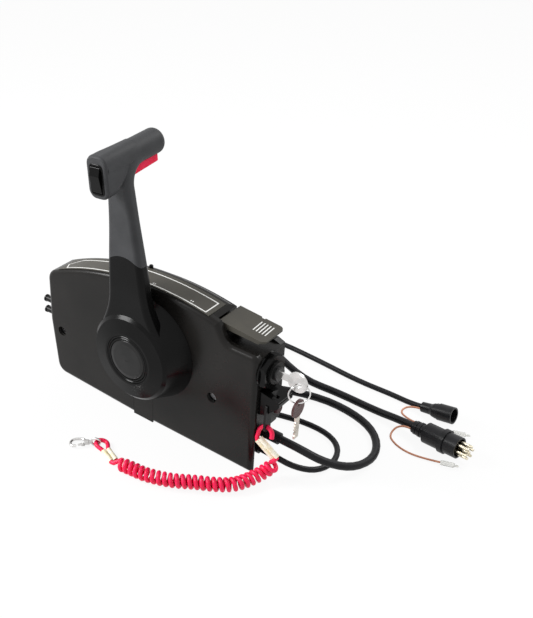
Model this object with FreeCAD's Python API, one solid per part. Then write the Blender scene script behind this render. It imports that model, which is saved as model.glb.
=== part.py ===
# Side mount boat throttle control, millimetres.
# +Z up, +X towards the key switch, -Y towards the person who works the lever.
# Origin: the lever's pivot axis where it meets the mounting face (the back).
import FreeCAD, Part
import math
import os

V = FreeCAD.Vector
os.makedirs("parts", exist_ok=True)

# Housing
housing_depth = 54.0        # front face to mounting face
rear_cover_depth = 8.0
wall = 3.0
left_x = -163.0
right_x = 151.0
bottom_z = -108.8
crown_z = 79.5              # top of the arched label deck
crown_x = 10.0
crown_radius = 386.0
crown_back_round = 9.0      # rounding of the arched deck's back edge
deck_z = 48.0               # lower deck at the key end
step_top_x = 90.0
step_foot_x = 108.5
edge_round = 6.0
cover_gap = 0.3
cover_inset = 1.0

# Recess of the fast idle lever
recess_left = 84.0
recess_front = -housing_depth + 10.0
recess_floor = 43.0
lip_reach = 4.5             # the crown's end slope hangs this far over the recess
lip_z = 68.0
lip_slope = 8.0

# Cable outlet cut from the lower key end
outlet_left = 112.0
outlet_front = -housing_depth + 6.0
outlet_top = -58.0

# Mounting bolts: x and z of each
bolt_places = [(-142.3, -39.1), (93.0, -29.5), (-5.0, -56.0)]
bolt_radius = 3.0
bolt_reach = 25.0           # thread that stands out of the mounting face
bolt_clearance = 0.3
bolt_head_radius = 5.2
recess_radius = 6.3
recess_depth = 8.0
boss_wall = 2.7

# Rear cover screws
cover_screw_places = [(-148, 18), (-60, 50), (70, 54), (140, -46), (100, -96), (-130, -88)]
cover_screw_radius = 2.0
cover_screw_length = 18.0
screw_post_radius = 4.5

# Access panel
panel_left = -24.0
panel_right = 6.5
panel_top = -46.0           # hidden under the hub, so that the third bolt is reached
panel_gap = 0.25
panel_rebate = 1.6
window_margin = 4.0

# Gear label plate on the arched deck
label_left_x = -146.0
label_right_x = 83.0
label_front = -housing_depth + 3.5
label_back = -19.5
label_thickness = 0.9

# Lever
lean_angle = 5.3            # neutral lean towards the bow, degrees
hub_radius = 53.7
hub_base_radius = 65.0
hub_stand = 37.0            # hub face in front of the housing
hub_face_y = -housing_depth - hub_stand
hub_gap = 0.5
hub_wall = 4.0
arm_front = hub_face_y + 5.0
arm_back = arm_front + 20.0
arm_seam_half = 23.5
arm_neck_half = 16.0
seam_height = 119.0
neck_height = 196.0
grip_radius = 14.2
grip_height = neck_height + 36.8   # middle of the grip at its front end
grip_slope = 2.5            # degrees, rising to the back
head_front = hub_face_y - 17.0
grip_end = head_front + 97.0
head_width = 27.4
head_height = 47.0
head_proud = 0.8            # top of the head above the grip tube
seam_arch = 14.0            # rise of the seam between arm and overmould
tongue_half = 9.0           # core of the arm inside the overmould
corner_radius = 18.0        # inside corner between arm and grip
grip_corner_z = neck_height + 7.0
grip_corner_outer = 46.4
cap_radius = 25.0
cap_ring_outer = 30.0
cap_recess = 7.0

# Shaft and gears
shaft_radius = 8.0
running_clearance = 0.05
bush_wall = 3.5
gear_module = 2.0
pinion_teeth = 20
sector_teeth = 40
gear_width = 8.0
gear_front = -housing_depth + 18.0
gear_backlash = 0.35
sector_angle = 30.0         # each sector's pivot lies this far below the shaft, degrees
sector_pin_radius = 4.0
arm_reach = 45.0

# Trigger
trigger_travel = 5.0
trigger_width = 11.0
trigger_gap = 0.4
trigger_front = arm_back - 2.0
trigger_back = grip_end - 7.0
trigger_bottom = neck_height + 14.5     # under the front end of the blade
trigger_bottom_back = neck_height + 19.0
trigger_top = neck_height + 28.5
trigger_round = 2.0
spring_y = grip_end - 19.0
spring_radius = 2.6
spring_wire = 0.5
spring_turns = 6
spring_top = trigger_top + 18.5
rod_radius = 2.0
rod_y = arm_front + 12.0
link_half = 3.0
link_half_height = 2.5
link_z = trigger_top - 3.0
lock_ring_radius = 22.0

# Trim rocker
rocker_width = 13.0
rocker_height = 28.0
rocker_z = neck_height + 26.5
bezel_width = 18.6
bezel_height = 34.0
bezel_depth = 3.0
rocker_gap = 0.8
rocker_pivot_y = head_front + 5.0
trunnion_radius = 1.5
trunnion_reach = 3.0

# Fast idle lever
idle_left = 90.0
idle_right = 150.0
idle_front = recess_front + 2.0
idle_back = -3.0
idle_height = 67.0          # top of the plate at its left end
idle_thickness = 2.6
idle_pivot_x = 93.0
idle_pivot_z = 56.0
idle_slope = 5.0
idle_pin_radius = 2.0
idle_pin_root = 4.0         # how far the pin sits in the front rim
idle_ear_front = -9.5
idle_ear_back = -5.5
idle_ear_half = 4.0
idle_knuckle_radius = 4.2
idle_notch = (120.0, 125.0) # notch in the plate's back edge, along x
idle_corner = 6.0

# Key switch
key_y = -(housing_depth + rear_cover_depth + 3.0) / 2
key_z = 24.5
nut_flats = 37.5
nut_flange_radius = 21.5
nut_flange = 2.0
nut_thickness = 9.0         # with its flange
switch_radius = 13.0
switch_reach = 12.0         # neck of the switch outside the wall
switch_body_radius = housing_depth - wall + key_y - 3.5
switch_body_length = 33.0
barrel_radius = 8.0
barrel_reach = 16.0
blade_thickness = 2.0
blade_height = 8.0
blade_tip_x = 152.0
bow_radius = 12.0
bow_thickness = 2.6
bow_center_x = 189.0
key_hole_x = 192.0
key_hole_z = 22.0
key_hole_radius = 3.2
ring_wire = 0.9
ring_radius = 11.6
ring_turn = 40.0            # the split ring's plane, turned from the key's
spare_hole_radius = 2.7
spare_bow_radius = 11.0
spare_bow_drop = 7.0        # from the hole's middle to the bow's
spare_blade_end = -48.0

# Stop switch under the key
hood_right = 177.0
hood_front = key_y - 13.5
hood_back = key_y + 12.5
stop_y = key_y - 0.5
stop_z = -20.0
stop_collar_radius = 8.0
stop_neck_radius = 3.2
stop_head_radius = 6.0
stop_head_x = 166.0
stop_head_length = 4.0
hood_wall = 2.4
collar_end_x = 160.3
clip_x = 160.6
clip_thickness = 2.6
clip_eye = (-44.0, -41.6)
clip_eye_radius = 3.2
clip_slot_half = 3.7

# Control cable ports in the bow end, and harness glands in the outlet
port_radius = 2.5           # bore for a control cable's core
port_wall = 1.5
port_y = -housing_depth + 16.0
port_zs = [-13.5, -29.5]
port_reach = 21.0
gland_wall = 2.3
engine_gland = (-20.0, -72.0)
tach_gland = (-32.0, -88.0)

# Cords
floor_z = bottom_z
lanyard_cord = 4.4
loop_radius = 8.8
loop_gap = 0.1              # from the loop to the crimps that it passes
leg_reach = 1.4             # from the crimps to the bend of the loop's left leg
crimp_radius = 3.0
crimp_offset = 3.1
crimp_start = (156.5, -50.0, -57.6)
crimp_end = (178.3, -47.0, -75.6)
curl_diameter = 18.0
curl_z = floor_z + curl_diameter / 2
curl_route = [(180.5, -47, -85.5), (177, -54, -94), (165, -66, curl_z), (156, -85, curl_z), (137, -113, curl_z),
              (101, -136, curl_z), (66, -146, curl_z), (36, -147, curl_z)]
hook_crimp_start = (20.0, -139.5, floor_z + crimp_radius)
hook_crimp_end = (1.0, -131.5, floor_z + crimp_radius)
hook_loop_radius = 7.0
hook_loop_center = (-9.6, -127.0, floor_z + 3.9)
hook_loop_normal = (0.178, 0.111, 1.0)
hook_eye = (-15.8, -130.9, floor_z + 6.4)
hook_heading = 212.0
hook_droop = 8.0
engine_cord = 9.5
engine_z = floor_z + engine_cord / 2
engine_sleeve = 53.0
engine_run = [(154, -20, -72), (188, -20, -72), (220, -10, -84), (242, 18, -98), (248, 58, engine_z),
              (228, 94, engine_z), (190, 112, engine_z), (134, 114, engine_z), (60, 84, engine_z),
              (11.5, 46.95, engine_z)]
engine_coil_center = (-26.0, 96.0)
engine_turn_radius = 61.75
engine_coil_columns = 3
engine_coil_layers = 4
plug_radius = 14.6
engine_tail = [(-10, 155.6, floor_z + 33), (45, 141, floor_z + 22), (100, 132, engine_z), (150, 136, engine_z),
               (205, 134, engine_z), (239, 130.6, floor_z + 10.06), (258, 128, floor_z + 11.6)]
tach_cord = 7.0
tach_z = floor_z + tach_cord / 2
tach_sleeve = 36.0
tach_run = [(139, -32, -88), (164, -32, -88), (189, -26, -96), (209, -8, -103.3), (216, 21, tach_z),
            (204, 49, tach_z), (176, 62, tach_z), (130, 58, tach_z), (62, 32, tach_z), (-15, 15, tach_z),
            (-82, 14, tach_z), (-144.7, 21.8, tach_z)]
tach_coil_center = (-140.0, 60.0)
tach_turn_radius = 38.5
tach_coil_columns = 1
tach_coil_layers = 3
tach_plug_radius = 10.4
tach_tail = [(-162.1, 91.5, floor_z + 17.5), (-108, 135, floor_z + 10), (-50, 176, tach_z), (25, 186, tach_z),
             (95, 182, tach_z), (155, 176, tach_z), (203, 178, tach_z), (230, 176.7, tach_z),
             (245, 176, tach_z + 2.8)]
lead_cord = 2.4
lead_z = floor_z + lead_cord / 2
lead_exit = 15.0            # straight stretch beside the cable
engine_lead_side = 6.1      # from the cable's middle to the lead, at the back of the plug
engine_lead = [(237, 107, lead_z), (252, 96, lead_z), (270, 92, lead_z), (290, 94, floor_z + 2.0),
               (308, 99, floor_z + 2.9)]
tach_lead_side = 4.9
tach_lead = [(225, 156, lead_z), (241, 149, lead_z), (259, 149, lead_z), (277, 153, floor_z + 2.0),
             (294, 158, floor_z + 2.9)]


def save(name, shape):
    """Write one sub-part."""
    shape.exportStep("parts/" + name + ".step")
    print(name, "solids", len(shape.Solids), "volume", round(shape.Volume, 1), shape.isValid())


def box(x0, x1, y0, y1, z0, z1):
    return Part.makeBox(x1 - x0, y1 - y0, z1 - z0, V(x0, y0, z0))


def cyl(radius, start, axis, length):
    return Part.makeCylinder(radius, length, V(*start), V(*axis))


def tube(outer, inner, start, axis, length):
    return cyl(outer, start, axis, length).cut(cyl(inner, start, axis, length))


def join(shapes):
    """Fuse touching solids into one."""
    whole = shapes[0]
    for shape in shapes[1:]:
        whole = whole.fuse(shape)
    return whole.removeSplitter()


def rounded_wire(corners, place):
    """Closed wire through (u, v, radius) corners; place(u, v) gives the point in space."""
    count = len(corners)
    ends = []
    arcs = []
    for i, (u, v, radius) in enumerate(corners):
        before = corners[i - 1]
        after = corners[(i + 1) % count]
        a = V(before[0] - u, before[1] - v, 0).normalize()
        b = V(after[0] - u, after[1] - v, 0).normalize()
        corner = V(u, v, 0)
        if radius <= 0:
            ends.append((corner, corner))
            arcs.append(None)
            continue
        half = a.getAngle(b) / 2
        reach = radius / math.tan(half)
        middle = (a + b).normalize() * (radius / math.sin(half) - radius)
        ends.append((corner + a * reach, corner + b * reach))
        arcs.append(corner + middle)
    edges = []
    for i in range(count):
        start, end = ends[i]
        if arcs[i] is not None:
            edges.append(Part.Arc(place(start.x, start.y), place(arcs[i].x, arcs[i].y),
                                  place(end.x, end.y)).toShape())
        following = ends[(i + 1) % count][0]
        if (following - end).Length > 1e-6:
            edges.append(Part.LineSegment(place(end.x, end.y), place(following.x, following.y)).toShape())
    return Part.Wire(edges)


def front_plate(corners, y0, y1):
    """Prism of an XZ outline between two Y planes."""
    wire = rounded_wire(corners, lambda u, v: V(u, y0, v))
    return Part.Face(wire).extrude(V(0, y1 - y0, 0))


def side_plate(corners, x0, x1):
    """Prism of a YZ outline between two X planes."""
    wire = rounded_wire(corners, lambda u, v: V(x0, u, v))
    return Part.Face(wire).extrude(V(x1 - x0, 0, 0))


def housing_outline():
    """Full outline of the housing as a face in the front plane."""
    corners = [
        (-27.0, bottom_z, 0),
        (left_x + 9.0, bottom_z + 5.0, 15.0),
        (left_x, -28.0, 0),
        (left_x, crown_z, 0),
        (step_top_x, crown_z, 9.0),
        (step_foot_x, deck_z, 14.0),
        (right_x, deck_z, 8.0),
        (right_x, bottom_z, 3.0),
    ]
    prism = front_plate(corners, -housing_depth, 0)
    crown = cyl(crown_radius, (crown_x, -housing_depth, crown_z - crown_radius), (0, 1, 0), housing_depth)
    shape = prism.common(crown)
    corner = [e for e in shape.Edges if abs(e.CenterOfMass.x - left_x) < 0.1 and e.CenterOfMass.z > 20
              and abs(e.CenterOfMass.y + housing_depth / 2) < 0.1]
    shape = shape.makeFillet(14.0, corner)
    front = [f for f in shape.Faces if abs(f.CenterOfMass.y + housing_depth) < 1e-4]
    return front[0]


outline = housing_outline()


def housing_prism(inset, y0, y1):
    """Prism of the housing outline, set in by inset, between two Y planes."""
    face = outline if inset == 0 else outline.makeOffset2D(-inset)
    prism = face.extrude(V(0, y1 - y0, 0))
    prism.translate(V(0, y0 + housing_depth, 0))
    return prism


def outer_edges(shape, y):
    """Edges of a prism's end face at one Y plane."""
    return [e for e in shape.Edges if all(abs(v.Point.y - y) < 1e-4 for v in e.Vertexes)
            and abs(e.CenterOfMass.y - y) < 1e-4]


def spun_about_crown(profile):
    """Solid of revolution about the crown's axis, from (radius, y) points and arcs' middle points."""
    place = [V(crown_x, y, crown_z - crown_radius + r) for r, y in profile]
    edges = [Part.LineSegment(place[0], place[1]).toShape(), Part.LineSegment(place[1], place[2]).toShape(),
             Part.Arc(place[2], place[3], place[4]).toShape()]
    edges += [Part.LineSegment(a, b).toShape() for a, b in zip(place[4:], place[5:] + place[:1])]
    return Part.Face(Part.Wire(edges)).revolve(V(crown_x, 0, crown_z - crown_radius), V(0, 1, 0), 360)


def crown_limit(inset):
    """Space under the arched deck and its rounded back edge, set in by inset."""
    turn = crown_back_round - inset
    center_r = crown_radius - crown_back_round
    center_y = -rear_cover_depth - crown_back_round
    half = turn * math.sqrt(0.5)
    return spun_about_crown([(0, -housing_depth - 1), (center_r + turn, -housing_depth - 1), (center_r + turn, center_y),
                             (center_r + half, center_y + half), (center_r, center_y + turn),
                             (center_r - inset, center_y + turn), (center_r - inset, 1), (0, 1)])


def rounded_housing():
    """Solid housing with its front edge rounded all the way, and its crown's back edge too."""
    shape = housing_prism(0, -housing_depth, -rear_cover_depth)
    return shape.makeFillet(edge_round, outer_edges(shape, -housing_depth)).common(crown_limit(0.001))


def gland_radius(cord):
    """Outer radius of the strain relief round a harness cable."""
    return cord / 2 + gland_wall


def idle_recess():
    """Pocket behind the front rim where the fast idle lever lies."""
    lip = recess_left + lip_reach
    return front_plate([(lip - lip_slope, crown_z + 5, 0), (lip - lip_slope, lip_z + lip_slope, 0),
                        (lip, lip_z, 0), (recess_left, lip_z - lip_reach, 0), (recess_left, recess_floor, 0),
                        (right_x + 5, recess_floor, 0), (right_x + 5, crown_z + 5, 0)], recess_front, 1)


def cable_outlet():
    """Cut-away corner where the two harness cables come out."""
    return box(outlet_left, right_x + 5, outlet_front, 1, bottom_z - 5, outlet_top)


def panel_pocket(gap):
    """Rebate and window of the access panel; gap is negative for the panel itself."""
    front = -housing_depth
    rebate = box(panel_left - gap, panel_right + gap, front - 1, front + panel_rebate,
                 bottom_z - 5, panel_top + gap)
    window = box(panel_left + window_margin - gap, panel_right - window_margin + gap,
                 front, front + wall + 1, bottom_z + 8 - gap, panel_top - window_margin + gap)
    return rebate.fuse(window)


def bolt_bosses():
    """Tubes of the two bolts that are reached from the front."""
    bosses = []
    for x, z in bolt_places[:2]:
        bosses.append(cyl(recess_radius + boss_wall, (x, -housing_depth + 1, z), (0, 1, 0),
                          housing_depth - 1 - rear_cover_depth))
    return bosses


def screw_posts():
    """Posts that the cover screws bite into."""
    length = housing_depth - wall / 2 - rear_cover_depth
    return [cyl(screw_post_radius, (x, -rear_cover_depth - length, z), (0, 1, 0), length)
            for x, z in cover_screw_places]


def bolt_bores():
    """Clearance holes and head recesses, right through the housing."""
    bores = []
    for x, z in bolt_places[:2]:
        bores.append(cyl(bolt_radius + bolt_clearance, (x, -housing_depth - 1, z), (0, 1, 0), housing_depth + 2))
        bores.append(cyl(recess_radius, (x, -housing_depth - 1, z), (0, 1, 0), recess_depth + 1))
    return bores


def make_front_housing():
    """Moulded front shell: rounded outline, arched deck, recess, outlet and bosses."""
    shell = rounded_housing()
    cavity = housing_prism(wall, -housing_depth + wall, 0).common(crown_limit(wall))
    pocket_skin = box(recess_left - wall, right_x, recess_front - wall, 1, recess_floor - wall, crown_z)
    outlet_skin = box(outlet_left - wall, right_x, outlet_front - wall, 1, bottom_z, outlet_top + wall)
    shell = shell.cut(cavity.cut(pocket_skin).cut(outlet_skin))
    for boss in bolt_bosses() + screw_posts():
        shell = shell.fuse(boss)
    shell = shell.fuse(cyl(shaft_radius + bush_wall + 4, (0, -housing_depth, 0), (0, 1, 0), 16.0))
    shell = shell.cut(cyl(shaft_radius + bush_wall, (0, -housing_depth - 1, 0), (0, 1, 0), 18.0))
    for cut in [idle_recess(), cable_outlet(), panel_pocket(0)] + bolt_bores():
        shell = shell.cut(cut)
    for x, z in cover_screw_places:
        shell = shell.cut(cyl(cover_screw_radius, (x, -cover_screw_length - 2, z), (0, 1, 0), cover_screw_length))
    for z in port_zs:
        shell = shell.cut(cyl(port_radius + port_wall, (left_x - 5, port_y, z), (1, 0, 0), 15.0))
    shell = shell.cut(cyl(switch_radius, (right_x - wall - 1, key_y, key_z), (1, 0, 0), wall + 2))
    for (y, z), cord in ((engine_gland, engine_cord), (tach_gland, tach_cord)):
        shell = shell.cut(cyl(gland_radius(cord), (outlet_left - wall - 1, y, z), (1, 0, 0), wall + 2))
    low, top = recess_floor - 1, idle_pivot_z + idle_ear_half
    ear = side_plate([(idle_ear_front, low, 0), (idle_ear_front, top, 1.5), (idle_ear_back, top, 1.5),
                      (idle_ear_back, low, 0)], idle_pivot_x - idle_ear_half, idle_pivot_x + idle_ear_half)
    return shell.fuse(ear).cut(make_idle_pin()).removeSplitter()


def crown_disc(inset):
    """Plain disc about the crown's axis, set in from the deck by inset."""
    center = (crown_x, -housing_depth, crown_z - crown_radius)
    return cyl(crown_radius - inset, center, (0, 1, 0), housing_depth + 1)


def make_rear_cover():
    """Tray that closes the back, with the rear bush socket and bolt holes."""
    edge = crown_back_round + cover_inset
    tray = housing_prism(cover_inset, -rear_cover_depth, 0).common(crown_disc(edge))
    hollow = housing_prism(cover_inset + wall, -rear_cover_depth - 1, -wall).common(crown_disc(edge + wall))
    tray = tray.cut(hollow)
    tray = tray.fuse(tube(shaft_radius + bush_wall + 3, shaft_radius + bush_wall, (0, -16, 0), (0, 1, 0), 16 - wall))
    for x, z in bolt_places:
        tray = tray.fuse(cyl(recess_radius + boss_wall - 1, (x, -rear_cover_depth, z), (0, 1, 0), rear_cover_depth))
    x, z = bolt_places[2]
    tray = tray.fuse(cyl(recess_radius, (x, -housing_depth + wall + 8, z), (0, 1, 0), housing_depth - wall - 8))
    for x, z in bolt_places:
        tray = tray.cut(cyl(bolt_radius + bolt_clearance, (x, -housing_depth, z), (0, 1, 0), housing_depth + 1))
    for x, z in cover_screw_places:
        tray = tray.fuse(cyl(screw_post_radius, (x, -rear_cover_depth, z), (0, 1, 0), rear_cover_depth - 1))
    for x, z in cover_screw_places:
        tray = tray.cut(screw((x, 0, z), cover_screw_radius, cover_gap / 3))
    for x, z in pivot_places():
        tray = tray.fuse(cyl(sector_pin_radius + 3, (x, -rear_cover_depth - 6, z), (0, 1, 0), rear_cover_depth + 6 - wall))
        tray = tray.cut(cyl(sector_pin_radius, (x, -rear_cover_depth - 7, z), (0, 1, 0), rear_cover_depth + 5))
    step = box(recess_left, right_x + 5, -rear_cover_depth - 1, 1, recess_floor + 3, crown_z + 5)
    return tray.cut(step).cut(cable_outlet()).removeSplitter()


def screw(tip, radius, grow=0.0):
    """Countersunk screw whose flat head lies in the mounting face."""
    x, y, z = tip
    head = Part.makeCone(radius * 1.9 + grow, radius + grow, radius, V(x, y, z), V(0, -1, 0))
    return head.fuse(cyl(radius + grow, (x, y, z), (0, -1, 0), cover_screw_length))


def pivot_places():
    """Centres of the two sector gears, left and right below the shaft."""
    distance = gear_module * (pinion_teeth + sector_teeth) / 2
    a = math.radians(sector_angle)
    return [(-distance * math.cos(a), -distance * math.sin(a)), (distance * math.cos(a), -distance * math.sin(a))]


def make_label_plate():
    """Thin curved plate on the arched deck."""
    strip = box(label_left_x, label_right_x, label_front, label_back, 0, crown_z + 5)
    radius = crown_radius
    center = (crown_x, -housing_depth - 1, crown_z - crown_radius)
    skin = tube(radius + label_thickness, radius, center, (0, 1, 0), housing_depth)
    plate = strip.common(skin)
    return plate


def make_access_panel():
    """Snap-in panel under the hub, stepped to fit its rebate and window."""
    panel = panel_pocket(-panel_gap)
    trim = box(left_x, right_x, -housing_depth, 0, bottom_z, crown_z)
    return panel.common(trim).removeSplitter()


def make_mounting_bolts():
    """Three bolts: hex head or pan head in front, thread standing out of the back."""
    bolts = []
    for i, (x, z) in enumerate(bolt_places):
        seat = -housing_depth + (recess_depth if i < 2 else wall + 8)
        head = cyl(bolt_head_radius, (x, seat - 3.0, z), (0, 1, 0), 3.0)
        slot = cyl(2.6, (x, seat - 3.5, z), (0, 1, 0), 2.2)
        shoulder = cyl(bolt_radius + 0.2, (x, seat, z), (0, 1, 0), -seat)
        thread = cyl(bolt_radius, (x, 0, z), (0, 1, 0), bolt_reach)
        bolts.append(head.cut(slot).fuse(shoulder).fuse(thread).removeSplitter())
    return Part.makeCompound(bolts)


def make_cover_screws():
    return Part.makeCompound([screw((x, 0, z), cover_screw_radius).removeSplitter() for x, z in cover_screw_places])


def make_cable_ports():
    """Two slim barrels that the control cables slide into, each with a flange inside."""
    ports = []
    for z in port_zs:
        start = (left_x - port_reach, port_y, z)
        length = port_reach + wall + 8
        barrel = cyl(port_radius + port_wall, start, (1, 0, 0), length)
        flange = cyl(port_radius + port_wall + 2, (left_x + wall + 1.2, port_y, z), (1, 0, 0), 2.5)
        bead = cyl(port_radius + port_wall + 0.7, start, (1, 0, 0), 2.0)
        bore = cyl(port_radius, (start[0] - 1, port_y, z), (1, 0, 0), length + 2)
        ports.append(barrel.fuse(flange).fuse(bead).cut(bore).removeSplitter())
    return Part.makeCompound(ports)


def make_shaft_bushes():
    """Front bush in the shell and rear bush in the cover."""
    outer = shaft_radius + bush_wall
    inner = shaft_radius + running_clearance
    front = tube(outer, inner, (0, -housing_depth, 0), (0, 1, 0), 16.0)
    rear = tube(outer, inner, (0, -16.0, 0), (0, 1, 0), 16.0 - wall)
    return Part.makeCompound([front, rear])


def make_main_shaft():
    """Shaft from the lever hub to the rear bush, drilled for the lever bolt."""
    front = hub_face_y + cap_recess
    shaft = cyl(shaft_radius, (0, front, 0), (0, 1, 0), -wall - 0.3 - front)
    return shaft.cut(cyl(4.0, (0, front - 1, 0), (0, 1, 0), 25.0))


def make_lever_bolt():
    """Hex bolt and washer under the hub cap."""
    seat = hub_face_y + cap_recess
    washer = cyl(9.0, (0, seat - 1.5, 0), (0, 1, 0), 1.5)
    head = hexagon(13.0, (0, seat - 5.5, 0), 4.0)
    shank = cyl(4.0, (0, seat, 0), (0, 1, 0), 22.0)
    return washer.fuse(head).fuse(shank).removeSplitter()


def hexagon(flats, start, length):
    """Hex prism along +Y."""
    radius = flats / math.sqrt(3)
    points = [V(start[0] + radius * math.cos(math.radians(60 * k)), start[1],
                start[2] + radius * math.sin(math.radians(60 * k))) for k in range(7)]
    return Part.Face(Part.makePolygon(points)).extrude(V(0, length, 0))


def involute(angle):
    return math.tan(angle) - angle


def gear_points(teeth, first, last, phase):
    """Tooth outline of teeth number first to last; phase is tooth zero's angle in radians."""
    pitch = gear_module * teeth / 2
    base = pitch * math.cos(math.radians(20))
    root = pitch - 1.25 * gear_module
    tip = pitch + 0.9 * gear_module
    radii = [max(base, root + 0.01), (base + pitch) / 2 if base > root else pitch - gear_module / 2, pitch,
             (pitch + tip) / 2, tip]
    at_pitch = math.pi / (2 * teeth) - gear_backlash / (2 * pitch) + involute(math.radians(20))
    halves = [at_pitch - involute(math.acos(base / r)) for r in radii]
    points = []
    for k in range(first, last + 1):
        center = phase + 2 * math.pi * k / teeth
        flank = [(root, halves[0])] + list(zip(radii, halves))
        for r, half in flank:
            points.append((r, center - half))
        for r, half in reversed(flank):
            points.append((r, center + half))
    return points


def gear_face(points, center, tail):
    """Flat face through polar gear points about a centre, closed through the tail points."""
    x, z = center
    path = [V(x + r * math.cos(a), gear_front, z + r * math.sin(a)) for r, a in points]
    path += [V(x + r * math.cos(a), gear_front, z + r * math.sin(a)) for r, a in tail]
    path.append(path[0])
    return Part.Face(Part.makePolygon(path)).extrude(V(0, gear_width, 0))


def make_drive_gear():
    """Pinion on the main shaft."""
    points = gear_points(pinion_teeth, 0, pinion_teeth - 1, 0.0)
    wheel = gear_face(points, (0, 0), [])
    wheel = wheel.fuse(cyl(shaft_radius + 4, (0, gear_front - 1.5, 0), (0, 1, 0), gear_width + 3))
    return wheel.cut(cyl(shaft_radius, (0, gear_front - 3, 0), (0, 1, 0), gear_width + 6)).removeSplitter()


def make_sector_gear(side):
    """Toothed sector with a crank arm; side is 0 for shift, 1 for throttle."""
    x, z = pivot_places()[side]
    towards = math.atan2(-z, -x)
    step = 2 * math.pi / pinion_teeth
    contact = towards + math.pi
    offset = round(contact / step) * step - contact
    gap = towards - offset * pinion_teeth / sector_teeth
    pitch_angle = 2 * math.pi / sector_teeth
    reach_low, reach_high = math.radians(42), math.radians(54)
    first = -int(reach_low / pitch_angle)
    last = int(reach_high / pitch_angle)
    points = gear_points(sector_teeth, first, last, gap + pitch_angle / 2)
    tail = [(10.0, points[-1][1] + 0.35), (10.0, points[0][1] - 0.35)]
    sector = gear_face(points, (x, z), tail)
    sector = sector.fuse(cyl(sector_pin_radius + 8, (x, gear_front - 1, z), (0, 1, 0), gear_width + 2))
    arm_angle = math.radians(200 if side == 0 else 290)
    sector = sector.fuse(crank_arm((x, z), arm_angle))
    hole = cyl(sector_pin_radius + running_clearance, (x, gear_front - 3, z), (0, 1, 0), gear_width + 6)
    return sector.cut(hole).removeSplitter()


def crank_arm(center, angle):
    """Flat arm with a pin that a control cable hooks on."""
    x, z = center
    far = V(x + arm_reach * math.cos(angle), gear_front, z + arm_reach * math.sin(angle))
    across = V(-math.sin(angle), 0, math.cos(angle)) * 6
    near = V(x, gear_front, z)
    path = [near + across * 1.5, far + across, far - across, near - across * 1.5, near + across * 1.5]
    arm = Part.Face(Part.makePolygon(path)).extrude(V(0, gear_width / 2, 0))
    arm = arm.fuse(cyl(6.0, (far.x, far.y, far.z), (0, 1, 0), gear_width / 2))
    return arm.fuse(cyl(3.0, (far.x, gear_front - 7, far.z), (0, 1, 0), 10.0))


def make_gear_pins():
    """Fixed pins that carry the two sectors, pressed in the rear cover."""
    pins = []
    for x, z in pivot_places():
        pin = cyl(sector_pin_radius, (x, gear_front - 1.5, z), (0, 1, 0), -wall - 2 - gear_front + 1.5)
        pin = pin.fuse(cyl(sector_pin_radius + 2, (x, gear_front - 3.5, z), (0, 1, 0), 2.0))
        pins.append(pin.removeSplitter())
    return Part.makeCompound(pins)


def make_lock_ring():
    """Fixed collar inside the hub with the neutral notch on top."""
    front = hub_face_y + cap_recess + hub_wall + 2.5
    ring = tube(lock_ring_radius, shaft_radius + 5.5, (0, front, 0), (0, 1, 0), -housing_depth - front)
    notch = box(-rod_radius - 0.6, rod_radius + 0.6, front - 1, -housing_depth - 6,
                lock_ring_radius - 3.5, lock_ring_radius + 1)
    return lean(ring.cut(notch))


def lean(shape):
    """Turn a piece of the lever from upright to its neutral lean."""
    turned = shape.copy()
    turned.rotate(V(0, 0, 0), V(0, 1, 0), -lean_angle)
    return turned


def flat_section(z, half, front, back, radius):
    """Rounded rectangle across the arm at one height."""
    corners = [(-half, front, radius), (half, front, radius), (half, back, radius), (-half, back, radius)]
    return rounded_wire(corners, lambda u, v: V(u, v, z))


def arm_loft():
    """Tapering arm from the hub to the neck, waisted above the hub."""
    stations = [(12, 50.0), (30, 45.5), (46, 37.0), (62, 30.5), (85, 26.6), (seam_height, arm_seam_half),
                (155, 19.6), (neck_height, arm_neck_half), (grip_corner_z, arm_neck_half - 0.6)]
    wires = []
    for z, half in stations:
        rise = min(max((z - 46) / (155 - 46), 0), 1)
        wires.append(flat_section(z, half, arm_front + 1 + 3 * rise, arm_back, 6.5))
    return Part.makeLoft(wires, True)


def elbow_loft():
    """Bend from the arm's top into the grip, about the inner corner."""
    wires = []
    corner = V(0, arm_back + corner_radius, grip_corner_z)
    for angle, outer, half, radius in ((0, 34.0, arm_neck_half - 0.6, 6.5), (30, 37.5, 15.0, 8.5),
                                       (60, 42.0, 14.5, 11.0), (90, grip_corner_outer, grip_radius, 13.6)):
        a = math.radians(angle)
        d = V(0, -math.cos(a), math.sin(a))
        corners = [(-half, corner_radius, radius), (half, corner_radius, radius),
                   (half, outer, radius), (-half, outer, radius)]
        wires.append(rounded_wire(corners, lambda u, v: corner + d * v + V(u, 0, 0)))
    return Part.makeLoft(wires, True)


def grip_solid():
    """Round grip with a domed end, rising slightly to the back."""
    start = head_front + 4.0
    length = grip_end - start
    edge = 8.0
    profile = [V(0, 0, 0), V(grip_radius, 0, 0), V(grip_radius, length - edge, 0)]
    bend = Part.Arc(profile[2], V(grip_radius - edge * 0.293, length - edge * 0.293, 0),
                    V(grip_radius - edge, length, 0)).toShape()
    edges = [Part.LineSegment(profile[0], profile[1]).toShape(), Part.LineSegment(profile[1], profile[2]).toShape(),
             bend, Part.LineSegment(V(grip_radius - edge, length, 0), V(0, length, 0)).toShape(),
             Part.LineSegment(V(0, length, 0), profile[0]).toShape()]
    solid = Part.Face(Part.Wire(edges)).revolve(V(0, 0, 0), V(0, 1, 0), 360)
    solid.rotate(V(0, 0, 0), V(1, 0, 0), grip_slope)
    rise = (start - head_front) * math.tan(math.radians(grip_slope))
    solid.translate(V(0, start, grip_height + rise))
    return solid


def grip_top(y):
    """Height of the grip's top line."""
    return grip_height + grip_radius + (y - head_front) * math.tan(math.radians(grip_slope))


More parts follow.
